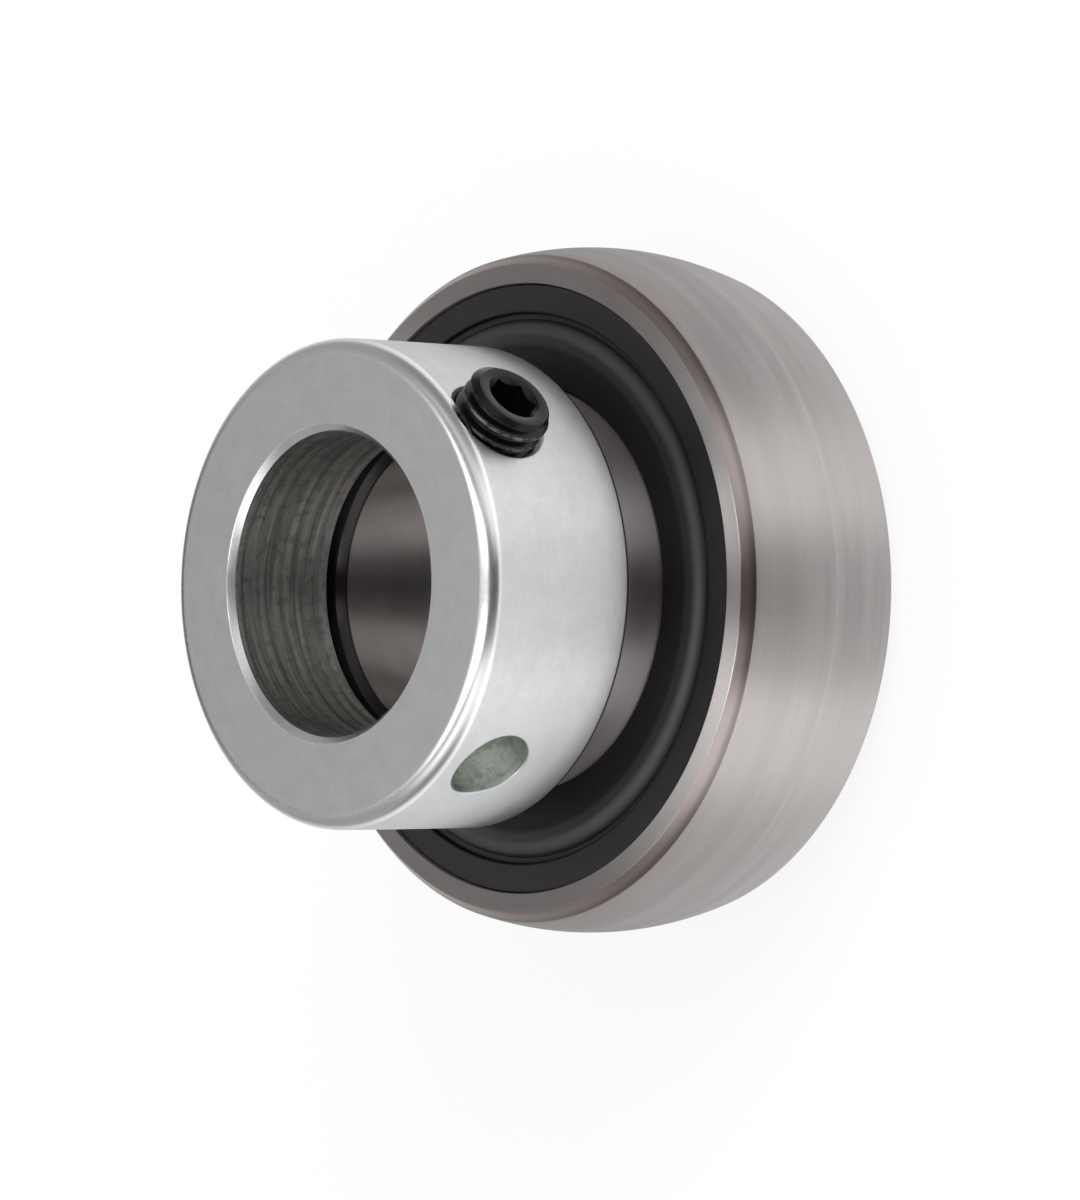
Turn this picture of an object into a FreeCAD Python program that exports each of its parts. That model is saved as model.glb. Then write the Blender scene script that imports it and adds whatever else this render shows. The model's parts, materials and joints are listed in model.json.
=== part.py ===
import FreeCAD, Part
import math
import os

import Sketcher
from FreeCAD import Placement, Rotation, Vector

# Insert bearing with an eccentric locking collar, in millimetres.
# The origin is the centre of the spherical seat, on the shaft axis.
# +Z runs along the shaft axis towards the locking collar, and z = 0 is the centre plane of the balls.
# The bearing stands on the back face of its inner ring.

# The walls, gaps and steps below add up outwards from the bore and forwards from the centre plane.
# Their sums are the standard sizes: sphere 47, outer ring 14 wide, inner ring 21.5 and overall 31 long.
SIZES = [
    # Rings
    ("shaft_bore", 20.0, "bore of the inner ring"),
    ("inner_ring_wall", 3.8, "wall of the inner ring, from its bore to its shoulder"),
    ("inner_race_depth", 1.05, "depth of the inner raceway below the shoulder"),
    ("outer_race_depth", 1.35, "depth of the outer raceway below its shoulder"),
    ("outer_ring_wall", 2.75, "wall of the outer ring, from the raceway to the sphere"),
    ("outer_chamfer_height", 0.75, "edge chamfer of the outer ring, along the axis"),
    ("outer_chamfer_width", 0.65, "edge chamfer of the outer ring, across the axis"),
    ("ring_chamfer", 0.5, "chamfer at the ends of the inner ring"),
    ("back_overhang", 0.5, "inner ring beyond the back face of the outer ring"),
    ("shoulder_overhang", 4.0, "inner ring's shoulder beyond the front face of the outer ring"),
    # Balls and raceways
    ("ball_diameter", 7.938, "diameter of a ball"),
    ("race_conformity", 0.52, "raceway radius as a share of the ball's diameter"),
    ("race_clearance", 0.031, "running gap between a ball and the bottom of a raceway"),
    # Cage
    ("cage_sheet", 0.8, "thickness of the pressed cage sheet"),
    ("cage_width", 3.1, "width of the cage ring, across the axis"),
    ("pocket_clearance", 0.1, "gap between a ball and its pocket"),
    ("rivet_shank", 1.2, "diameter of a cage rivet"),
    ("rivet_head", 2.2, "head diameter of a cage rivet"),
    ("rivet_head_height", 0.5, "head height of a cage rivet"),
    ("rivet_clearance", 0.03, "gap round a rivet in its hole"),
    # Seals and their seats
    ("cage_to_seal_gap", 0.431, "gap between the cage and the shelf under the seal"),
    ("seal_seat_depth", 1.7, "shelf under the seal, below the side face"),
    ("seal_shelf_width", 1.3, "shelf under the seal, across the axis"),
    ("seal_groove_depth", 0.25, "groove behind the lip of the seal seat"),
    ("seal_lip_height", 0.4, "height of the lip that holds the seal"),
    ("seal_clearance", 0.05, "gap between the seal and the rings"),
    ("seal_rim_inset", 0.25, "flat rim of the seal, below the side face"),
    ("seal_rim_width", 1.95, "width of the flat rim of the seal"),
    ("seal_groove_width", 0.4, "flat bottom of the groove beside the rim"),
    ("seal_bead_inset", 0.1, "crest of the round bead, below the side face"),
    ("seal_bead_height", 0.6, "height of the round bead above the groove"),
    ("seal_bead_width", 1.0, "width of the round bead, from groove to crest"),
    ("seal_lip_drop", 0.5, "fall of the seal from the bead's crest to the lip"),
    ("seal_lip_land", 0.2, "width of the lip's edge, along the axis"),
    ("seal_lip_reach", 1.45, "rubber lip beyond the bore of the plate"),
    ("seal_plate_sheet", 0.5, "thickness of the seal's steel plate"),
    ("seal_plate_wrap", 0.5, "rubber round the inside edge of the plate"),
    ("seal_plate_inset", 0.95, "rubber outside the rim of the plate"),
    # Cam of the inner ring and recess of the collar
    ("cam_step", 1.1, "step from the shoulder down to the cam, without the eccentricity"),
    ("cam_offset", 0.8, "eccentricity of the cam and of the recess, towards +X"),
    ("cam_length", 3.0, "length of the cam with its relief groove"),
    ("relief_width", 0.4, "relief groove at the foot of the cam"),
    ("relief_depth", 0.3, "depth of the relief groove"),
    ("recess_clearance", 0.35, "gap all round between the cam and the recess"),
    ("recess_headroom", 1.1, "gap between the front face of the inner ring and the recess floor"),
    # Locking collar
    ("collar_wall", 3.15, "wall of the collar round its recess, without the eccentricity"),
    ("collar_gap", 0.35, "gap between the shoulder and the collar"),
    ("collar_bore_length", 8.4, "length of the collar's bore, in front of the recess"),
    ("collar_bore_clearance", 0.1, "gap between the shaft and the collar's bore"),
    ("collar_chamfer", 0.5, "chamfer at the outside edges of the collar"),
    ("collar_bore_chamfer", 0.2, "chamfer at the mouth of the collar's bore"),
    ("recess_chamfer", 0.3, "chamfer at the mouth of the recess"),
    ("drift_diameter", 5.5, "blind hole for a drift or pin wrench"),
    ("drift_depth", 3.5, "straight depth of the drift hole"),
    ("drift_angle", -47.0, "place of the drift hole round the axis, from +X towards +Y"),
    ("drift_setback", 0.6, "drift hole, behind the middle of the collar's bore"),
    ("drill_point", 118.0, "angle of the drill's point"),
    # Set screw, in the middle of the collar's bore
    ("screw_diameter", 6.0, "outside of the set screw's thread"),
    ("screw_length", 8.0, "length of the set screw"),
    ("screw_clearance", 0.05, "gap round the set screw in its hole"),
    ("screw_countersink", 0.5, "countersink of the screw's hole, beyond its wall"),
    ("screw_angle", 41.7, "place of the set screw round the axis, from +X towards +Y"),
    ("screw_tip_gap", 0.1, "set screw's tip, behind the wall of the collar's bore"),
    ("screw_end_chamfer", 0.44, "chamfer at the outer end of the set screw"),
    ("socket_width", 3.0, "width across the flats of the hex socket"),
    ("socket_depth", 3.5, "depth of the hex socket"),
    ("socket_turn", 10.0, "turn of the socket's first corner, from square to the shaft axis"),
    ("socket_chamfer", 0.35, "cone at the mouth of the socket, beyond its flats"),
    ("cup_diameter", 3.0, "rim of the cup point"),
    ("cup_depth", 0.75, "depth of the cup point"),
]

BALL_COUNT = 8

# Radii that follow from the driving sizes, as expressions
BORE_RADIUS = "(sizes.shaft_bore / 2)"
BALL_RADIUS = "(sizes.ball_diameter / 2)"
RACE_RADIUS = "(sizes.race_conformity * sizes.ball_diameter)"
INNER_SHOULDER_RADIUS = f"({BORE_RADIUS} + sizes.inner_ring_wall)"
INNER_RACE_BOTTOM = f"({INNER_SHOULDER_RADIUS} - sizes.inner_race_depth)"
PITCH_RADIUS = f"({INNER_RACE_BOTTOM} + sizes.race_clearance + {BALL_RADIUS})"
OUTER_RACE_BOTTOM = f"({PITCH_RADIUS} + {BALL_RADIUS} + sizes.race_clearance)"
OUTER_SHOULDER_RADIUS = f"({OUTER_RACE_BOTTOM} - sizes.outer_race_depth)"
SPHERE_RADIUS = f"({OUTER_RACE_BOTTOM} + sizes.outer_ring_wall)"
SEAT_RADIUS = f"({OUTER_SHOULDER_RADIUS} + sizes.seal_shelf_width)"
GROOVE_RADIUS = f"({SEAT_RADIUS} + sizes.seal_groove_depth)"
LIP_RADIUS = f"({INNER_SHOULDER_RADIUS} + sizes.seal_clearance)"
PLATE_RADIUS = f"({GROOVE_RADIUS} - sizes.seal_plate_inset)"
PLATE_BORE_RADIUS = f"({LIP_RADIUS} + sizes.seal_lip_reach)"
POCKET_RADIUS = f"({BALL_RADIUS} + sizes.pocket_clearance)"
CUP_RADIUS = f"({POCKET_RADIUS} + sizes.cage_sheet)"
CAM_RADIUS = f"({INNER_SHOULDER_RADIUS} - sizes.cam_step)"
RECESS_RADIUS = f"({CAM_RADIUS} + sizes.recess_clearance)"
COLLAR_RADIUS = f"({RECESS_RADIUS} + sizes.collar_wall)"
COLLAR_BORE_RADIUS = f"({BORE_RADIUS} + sizes.collar_bore_clearance)"
SCREW_RADIUS = "(sizes.screw_diameter / 2)"
SCREW_TIP = f"({COLLAR_BORE_RADIUS} + sizes.screw_tip_gap)"

# Heights above the centre plane that follow from the driving sizes, as expressions
SHELF_HEIGHT = f"({CUP_RADIUS} + sizes.cage_to_seal_gap)"
PLATE_HEIGHT = f"({SHELF_HEIGHT} + sizes.seal_plate_sheet)"
HALF_WIDTH = f"({SHELF_HEIGHT} + sizes.seal_seat_depth)"
SHOULDER_FRONT = f"({HALF_WIDTH} + sizes.shoulder_overhang)"
RING_FRONT = f"({SHOULDER_FRONT} + sizes.cam_length)"
RECESS_FLOOR = f"({RING_FRONT} + sizes.recess_headroom)"
COLLAR_BACK = f"({SHOULDER_FRONT} + sizes.collar_gap)"
COLLAR_FRONT = f"({RECESS_FLOOR} + sizes.collar_bore_length)"
SCREW_HEIGHT = f"({RECESS_FLOOR} + sizes.collar_bore_length / 2)"


def make_sizes(doc):
    """Put the driving sizes into a sheet, one named cell each."""
    sheet = doc.addObject("Spreadsheet::Sheet", "sizes")
    for row, (alias, value, meaning) in enumerate(SIZES, start=1):
        sheet.set(f"A{row}", meaning)
        sheet.set(f"B{row}", str(value))
        sheet.setAlias(f"B{row}", alias)
    doc.recompute()


def make_body(doc, label):
    """Start an empty body."""
    body = doc.addObject("PartDesign::Body", label)
    body.Label = label
    return body


def origin_feature(body, role):
    """Find the body's own origin plane or axis."""
    return next(item for item in body.Origin.OriginFeatures if item.Role == role)


def make_sketch(body, name, plane="XZ_Plane", offset=None):
    """Attach an empty sketch to an origin plane, moved by expressions along the plane's own axes."""
    sketch = body.newObject("Sketcher::SketchObject", name)
    sketch.AttachmentSupport = [(origin_feature(body, plane), "")]
    sketch.MapMode = "FlatFace"
    for direction, expression in (offset or {}).items():
        sketch.setExpression(f"AttachmentOffset.Base.{direction}", expression)
    return sketch


def fix_coordinate(sketch, geometry, point, direction, expression):
    """Tie one coordinate of a sketch point to an expression; zero puts the point on the axis."""
    if expression == "0":
        axis = -2 if direction == "X" else -1
        sketch.addConstraint(Sketcher.Constraint("PointOnObject", geometry, point, axis))
        return
    value = sketch.evalExpression(expression)
    constraint = Sketcher.Constraint(f"Distance{direction}", -1, 1, geometry, point, value)
    index = sketch.addConstraint(constraint)
    sketch.setExpression(f"Constraints[{index}]", expression)


def add_arc(sketch, start, end, turn, centre):
    """Add an arc from start to end about a centre, turning left or right."""
    first, last = (start, end) if turn == "left" else (end, start)
    radius = (start - centre).Length
    angles = [math.atan2(point.y - centre.y, point.x - centre.x) for point in (first, last)]
    circle = Part.Circle(centre, Vector(0, 0, 1), radius)
    return sketch.addGeometry(Part.ArcOfCircle(circle, *angles))


def draw_outline(sketch, corners):
    """Draw a closed outline. A corner is (x, y), or (x, y, turn, centre x, centre y) to start an arc."""
    points = [Vector(*(sketch.evalExpression(text) for text in corner[:2]), 0) for corner in corners]
    ends = []
    for number, corner in enumerate(corners):
        start = points[number]
        end = points[(number + 1) % len(corners)]
        if len(corner) == 2:
            geometry = sketch.addGeometry(Part.LineSegment(start, end))
            ends.append((geometry, 1, 2))
            continue
        turn, *centre = corner[2:]
        middle = Vector(*(sketch.evalExpression(text) for text in centre), 0)
        geometry = add_arc(sketch, start, end, turn, middle)
        ends.append((geometry, 1, 2) if turn == "left" else (geometry, 2, 1))
        # The centre lies on the bisector of the arc's ends, so one coordinate places it
        chord = end - start
        across = 0 if abs(chord.y) > abs(chord.x) else 1
        fix_coordinate(sketch, geometry, 3, "XY"[across], centre[across])
    for number, corner in enumerate(corners):
        geometry, first, _ = ends[number]
        previous, _, last = ends[number - 1]
        sketch.addConstraint(Sketcher.Constraint("Coincident", previous, last, geometry, first))
        fix_coordinate(sketch, geometry, first, "X", corner[0])
        fix_coordinate(sketch, geometry, first, "Y", corner[1])


def draw_circle(sketch, centre_x, centre_y, radius):
    """Draw a circle with its centre and radius tied to expressions."""
    values = [sketch.evalExpression(text) for text in (centre_x, centre_y, radius)]
    circle = Part.Circle(Vector(values[0], values[1], 0), Vector(0, 0, 1), values[2])
    geometry = sketch.addGeometry(circle)
    index = sketch.addConstraint(Sketcher.Constraint("Radius", geometry, values[2]))
    sketch.setExpression(f"Constraints[{index}]", radius)
    fix_coordinate(sketch, geometry, 3, "X", centre_x)
    fix_coordinate(sketch, geometry, 3, "Y", centre_y)


def turn_profile(body, sketch, name, kind="Revolution", axis="V_Axis"):
    """Turn a sketch all the way round one of its own axes, as metal or as a cut."""
    feature = body.newObject(f"PartDesign::{kind}", name)
    feature.Profile = sketch
    feature.ReferenceAxis = (sketch, [axis])
    feature.Angle = 360
    return feature


def extrude_profile(body, sketch, name, length, kind="Pad"):
    """Pad a sketch along its normal, or cut a pocket against it."""
    feature = body.newObject(f"PartDesign::{kind}", name)
    feature.Profile = sketch
    feature.setExpression("Length", length)
    return feature


def repeat_round(body, feature, name):
    """Repeat a feature round the shaft axis, once for each ball."""
    pattern = body.newObject("PartDesign::PolarPattern", name)
    pattern.Originals = [feature]
    pattern.Axis = (origin_feature(body, "Z_Axis"), [""])
    pattern.Angle = 360
    pattern.Occurrences = BALL_COUNT
    body.Tip = pattern
    return pattern


def chamfer_circle(body, name, radius, height, size):
    """Chamfer the round edge that has this radius and this height."""
    body.Document.recompute()
    base = body.Tip
    wanted_radius = base.evalExpression(radius)
    wanted_height = base.evalExpression(height)
    names = []
    for number, edge in enumerate(base.Shape.Edges, start=1):
        if not isinstance(edge.Curve, Part.Circle):
            continue
        near = abs(edge.Curve.Radius - wanted_radius) < 1e-4
        if near and abs(edge.Curve.Center.z - wanted_height) < 1e-4:
            names.append(f"Edge{number}")
    chamfer = body.newObject("PartDesign::Chamfer", name)
    chamfer.Base = (base, names)
    chamfer.setExpression("Size", size)
    return chamfer


def mirrored(corners):
    """Repeat corners below the centre plane, in reverse order."""
    return [(radius, f"-{height}") for radius, height in reversed(corners)]


def make_outer_ring(doc):
    """Turn the outer ring: spherical outside, raceway, and a seal seat at each side."""
    body = make_body(doc, "outer_ring")
    edge_height = f"({HALF_WIDTH} - sizes.outer_chamfer_height)"
    edge_radius = f"sqrt({SPHERE_RADIUS}^2 - {edge_height}^2)"
    face_radius = f"({edge_radius} - sizes.outer_chamfer_width)"
    lip_height = f"({HALF_WIDTH} - sizes.seal_lip_height)"
    race_centre = f"({OUTER_RACE_BOTTOM} - {RACE_RADIUS})"
    race_height = f"sqrt({RACE_RADIUS}^2 - ({RACE_RADIUS} - sizes.outer_race_depth)^2)"
    front = [
        (edge_radius, edge_height),
        (face_radius, HALF_WIDTH),
        (SEAT_RADIUS, HALF_WIDTH),
        (SEAT_RADIUS, lip_height),
        (GROOVE_RADIUS, f"({lip_height} - sizes.seal_groove_depth)"),
        (GROOVE_RADIUS, SHELF_HEIGHT),
        (OUTER_SHOULDER_RADIUS, SHELF_HEIGHT),
    ]
    race_start = (OUTER_SHOULDER_RADIUS, race_height, "right", race_centre, "0")
    race_end = (OUTER_SHOULDER_RADIUS, f"-{race_height}")
    back = mirrored(front)
    sphere_start = (*back.pop(), "left", "0", "0")
    sketch = make_sketch(body, "outer_ring_section")
    draw_outline(sketch, front + [race_start, race_end] + back + [sphere_start])
    turn_profile(body, sketch, "outer_ring_turned")
    return body


def make_inner_ring(doc):
    """Turn the inner ring with its raceway, and add the eccentric cam in front of its shoulder."""
    body = make_body(doc, "inner_ring")
    back = f"(-{HALF_WIDTH} - sizes.back_overhang)"
    race_centre = f"({INNER_RACE_BOTTOM} + {RACE_RADIUS})"
    race_height = f"sqrt({RACE_RADIUS}^2 - ({RACE_RADIUS} - sizes.inner_race_depth)^2)"
    sketch = make_sketch(body, "inner_ring_section")
    draw_outline(sketch, [
        (BORE_RADIUS, f"{back} + sizes.ring_chamfer"),
        (f"{BORE_RADIUS} + sizes.ring_chamfer", back),
        (f"{INNER_SHOULDER_RADIUS} - sizes.ring_chamfer", back),
        (INNER_SHOULDER_RADIUS, f"{back} + sizes.ring_chamfer"),
        (INNER_SHOULDER_RADIUS, f"-{race_height}", "right", race_centre, "0"),
        (INNER_SHOULDER_RADIUS, race_height),
        (INNER_SHOULDER_RADIUS, f"{SHOULDER_FRONT} - sizes.ring_chamfer"),
        (f"{INNER_SHOULDER_RADIUS} - sizes.ring_chamfer", SHOULDER_FRONT),
        (BORE_RADIUS, SHOULDER_FRONT),
    ])
    turn_profile(body, sketch, "inner_ring_turned")

    relief = make_sketch(body, "relief_section", "XY_Plane", {"z": SHOULDER_FRONT})
    draw_circle(relief, "0", "0", BORE_RADIUS)
    draw_circle(relief, "sizes.cam_offset", "0", f"{CAM_RADIUS} - sizes.relief_depth")
    extrude_profile(body, relief, "relief", "sizes.relief_width")
    cam = make_sketch(body, "cam_section", "XY_Plane", {"z": f"{SHOULDER_FRONT} + sizes.relief_width"})
    draw_circle(cam, "0", "0", BORE_RADIUS)
    draw_circle(cam, "sizes.cam_offset", "0", CAM_RADIUS)
    extrude_profile(body, cam, "cam", "sizes.cam_length - sizes.relief_width")
    chamfer_circle(body, "cam_chamfer", CAM_RADIUS, RING_FRONT, "sizes.ring_chamfer")
    chamfer_circle(body, "bore_chamfer", BORE_RADIUS, RING_FRONT, "sizes.ring_chamfer")
    return body


def make_ball(doc, number):
    """Place one ball on the pitch circle."""
    ball = doc.addObject("Part::Sphere", f"ball_{number}")
    ball.Label = f"ball_{number}"
    angle = (number - 1) * 360 / BALL_COUNT
    ball.setExpression("Radius", BALL_RADIUS)
    ball.setExpression("Placement.Base.x", f"{PITCH_RADIUS} * cos({angle})")
    ball.setExpression("Placement.Base.y", f"{PITCH_RADIUS} * sin({angle})")
    return ball


def add_pocket_sphere(body, name, kind, radius):
    """Add or cut the upper half of a sphere, or the whole of it for a cut, at the first ball."""
    sphere = body.newObject(f"PartDesign::{kind}Sphere", name)
    sphere.AttachmentSupport = [(origin_feature(body, "XY_Plane"), "")]
    sphere.MapMode = "FlatFace"
    sphere.setExpression("AttachmentOffset.Base.x", PITCH_RADIUS)
    sphere.setExpression("Radius", radius)
    if kind == "Additive":
        sphere.Angle1 = 0
    return sphere


def make_cage_half(doc, label, flip):
    """Press one half of the ribbon cage: a flat ring with a cup over each ball."""
    body = make_body(doc, label)
    inside = f"({PITCH_RADIUS} - sizes.cage_width / 2)"
    outside = f"({PITCH_RADIUS} + sizes.cage_width / 2)"
    land = make_sketch(body, f"{label}_land_section", "XY_Plane")
    draw_circle(land, "0", "0", inside)
    draw_circle(land, "0", "0", outside)
    extrude_profile(body, land, f"{label}_land", "sizes.cage_sheet")
    cup = add_pocket_sphere(body, f"{label}_cup", "Additive", CUP_RADIUS)
    repeat_round(body, cup, f"{label}_cups")
    pocket = add_pocket_sphere(body, f"{label}_pocket", "Subtractive", POCKET_RADIUS)
    repeat_round(body, pocket, f"{label}_pockets")

    trim = make_sketch(body, f"{label}_trim_section")
    top = f"{CUP_RADIUS} + sizes.cage_sheet"
    bottom = "-sizes.cage_sheet"
    sides = [(inside, f"{PITCH_RADIUS} - {CUP_RADIUS} - sizes.cage_sheet"),
             (outside, f"{PITCH_RADIUS} + {CUP_RADIUS} + sizes.cage_sheet")]
    for near, far in sides:
        draw_outline(trim, [(near, bottom), (far, bottom), (far, top), (near, top)])
    turn_profile(body, trim, f"{label}_trim", "Groove")

    hole = make_sketch(body, f"{label}_hole_section", "XY_Plane", {"z": "sizes.cage_sheet"})
    between = 180 / BALL_COUNT
    radius = "sizes.rivet_shank / 2 + sizes.rivet_clearance"
    draw_circle(hole, f"{PITCH_RADIUS} * cos({between})", f"{PITCH_RADIUS} * sin({between})", radius)
    cut = extrude_profile(body, hole, f"{label}_hole", "sizes.cage_sheet", "Pocket")
    repeat_round(body, cut, f"{label}_holes")
    if flip:
        body.Placement = Placement(Vector(0, 0, 0), Rotation(Vector(1, 0, 0), 180))
    return body


def make_cage_rivets(doc):
    """Turn a rivet with two round heads, and repeat it between the balls."""
    body = make_body(doc, "cage_rivets")
    body.AllowCompound = True
    shank = "(sizes.rivet_shank / 2)"
    head = "(sizes.rivet_head / 2)"
    height = "sizes.rivet_head_height"
    dome = f"(({head}^2 + {height}^2) / (2 * {height}))"
    top = f"(sizes.cage_sheet + {height})"
    sketch = make_sketch(body, "rivet_section", offset={"x": PITCH_RADIUS})
    draw_outline(sketch, [
        ("0", f"-{top}", "left", "0", f"{dome} - {top}"),
        (head, "-sizes.cage_sheet"),
        (shank, "-sizes.cage_sheet"),
        (shank, "sizes.cage_sheet"),
        (head, "sizes.cage_sheet", "left", "0", f"{top} - {dome}"),
        ("0", top),
    ])
    rivet = turn_profile(body, sketch, "rivet")
    repeat_round(body, rivet, "rivets")
    body.Placement = Placement(Vector(0, 0, 0), Rotation(Vector(0, 0, 1), 180 / BALL_COUNT))
    return body


def make_seal(doc, label, flip):
    """Mould the rubber of a seal: rim in the seat, groove, round bead, and lip on the shoulder."""
    body = make_body(doc, label)
    rim = f"({GROOVE_RADIUS} - sizes.seal_clearance)"
    neck = f"({SEAT_RADIUS} - sizes.seal_clearance)"
    neck_height = f"({HALF_WIDTH} - sizes.seal_lip_height - sizes.seal_clearance)"
    rim_top = f"({HALF_WIDTH} - sizes.seal_rim_inset)"
    rim_inside = f"({neck} - sizes.seal_rim_width)"
    groove_inside = f"({rim_inside} - sizes.seal_groove_width)"
    crest = f"({groove_inside} - sizes.seal_bead_width)"
    crest_height = f"({HALF_WIDTH} - sizes.seal_bead_inset)"
    floor = f"({crest_height} - sizes.seal_bead_height)"
    bead = "((sizes.seal_bead_width^2 + sizes.seal_bead_height^2) / (2 * sizes.seal_bead_height))"
    lip_top = f"({crest_height} - sizes.seal_lip_drop)"
    land_top = f"({lip_top} - sizes.seal_lip_land)"
    sketch = make_sketch(body, f"{label}_section")
    draw_outline(sketch, [
        (rim, SHELF_HEIGHT),
        (rim, f"{neck_height} - sizes.seal_groove_depth"),
        (neck, neck_height),
        (neck, rim_top),
        (rim_inside, rim_top),
        (rim_inside, floor),
        (groove_inside, floor, "left", crest, f"{crest_height} - {bead}"),
        (crest, crest_height),
        (f"{LIP_RADIUS} + sizes.seal_lip_land", lip_top),
        (LIP_RADIUS, land_top),
        (LIP_RADIUS, f"{land_top} - sizes.seal_lip_land"),
        (f"{PLATE_BORE_RADIUS} - sizes.seal_plate_wrap", PLATE_HEIGHT),
        (f"{PLATE_BORE_RADIUS} - sizes.seal_plate_wrap", SHELF_HEIGHT),
        (PLATE_BORE_RADIUS, SHELF_HEIGHT),
        (PLATE_BORE_RADIUS, PLATE_HEIGHT),
        (PLATE_RADIUS, PLATE_HEIGHT),
        (PLATE_RADIUS, SHELF_HEIGHT),
    ])
    turn_profile(body, sketch, f"{label}_moulded")
    if flip:
        body.Placement = Placement(Vector(0, 0, 0), Rotation(Vector(1, 0, 0), 180))
    return body


def make_seal_plate(doc, label, flip):
    """Stamp the flat steel ring that stiffens a seal."""
    body = make_body(doc, label)
    sketch = make_sketch(body, f"{label}_section", "XY_Plane", {"z": SHELF_HEIGHT})
    draw_circle(sketch, "0", "0", PLATE_BORE_RADIUS)
    draw_circle(sketch, "0", "0", PLATE_RADIUS)
    extrude_profile(body, sketch, f"{label}_stamped", "sizes.seal_plate_sheet")
    if flip:
        body.Placement = Placement(Vector(0, 0, 0), Rotation(Vector(1, 0, 0), 180))
    return body


def add_radial_hole(body, name, angle, height):
    """Start a hole that runs from the collar's outside straight towards the shaft axis."""
    # The plane's own axes are +Y, +Z and +X of the bearing
    offset = {
        "x": f"{COLLAR_RADIUS} * sin({angle})",
        "y": height,
        "z": f"{COLLAR_RADIUS} * cos({angle})",
    }
    sketch = make_sketch(body, f"{name}_centre", "YZ_Plane", offset)
    turned = Rotation(Vector(0, 1, 0), sketch.evalExpression(angle))
    sketch.AttachmentOffset = Placement(sketch.AttachmentOffset.Base, turned)
    draw_circle(sketch, "0", "0", SCREW_RADIUS)
    body.Document.recompute()
    hole = body.newObject("PartDesign::Hole", name)
    hole.Profile = sketch
    hole.DepthType = "Dimension"
    return hole


def make_locking_collar(doc):
    """Turn the collar, cut its eccentric recess, and drill the drift hole and the screw's hole."""
    body = make_body(doc, "locking_collar")
    edge = "sizes.collar_chamfer"
    mouth = "sizes.collar_bore_chamfer"
    sketch = make_sketch(body, "collar_section")
    draw_outline(sketch, [
        (COLLAR_BORE_RADIUS, COLLAR_BACK),
        (f"{COLLAR_RADIUS} - {edge}", COLLAR_BACK),
        (COLLAR_RADIUS, f"{COLLAR_BACK} + {edge}"),
        (COLLAR_RADIUS, f"{COLLAR_FRONT} - {edge}"),
        (f"{COLLAR_RADIUS} - {edge}", COLLAR_FRONT),
        (f"{COLLAR_BORE_RADIUS} + {mouth}", COLLAR_FRONT),
        (COLLAR_BORE_RADIUS, f"{COLLAR_FRONT} - {mouth}"),
    ])
    turn_profile(body, sketch, "collar_turned")
    recess = make_sketch(body, "recess_section", "XY_Plane", {"z": RECESS_FLOOR})
    draw_circle(recess, "sizes.cam_offset", "0", RECESS_RADIUS)
    extrude_profile(body, recess, "recess", f"{RECESS_FLOOR} - {COLLAR_BACK}", "Pocket")
    chamfer_circle(body, "recess_chamfer", RECESS_RADIUS, COLLAR_BACK, "sizes.recess_chamfer")

    drift = add_radial_hole(body, "drift_hole", "sizes.drift_angle", f"{SCREW_HEIGHT} - sizes.drift_setback")
    drift.DrillPoint = "Angled"
    drift.DrillForDepth = False
    drift.setExpression("Diameter", "sizes.drift_diameter")
    drift.setExpression("Depth", "sizes.drift_depth")
    drift.setExpression("DrillPointAngle", "sizes.drill_point")

    screw = add_radial_hole(body, "screw_hole", "sizes.screw_angle", SCREW_HEIGHT)
    hole_diameter = "sizes.screw_diameter + 2 * sizes.screw_clearance"
    screw.DrillPoint = "Flat"
    screw.setExpression("Diameter", hole_diameter)
    screw.setExpression("Depth", COLLAR_RADIUS)
    screw.HoleCutType = "Countersink"
    screw.HoleCutCustomValues = True
    screw.setExpression("HoleCutDiameter", f"{hole_diameter} + 2 * sizes.screw_countersink")
    screw.HoleCutCountersinkAngle = 90
    return body


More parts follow.
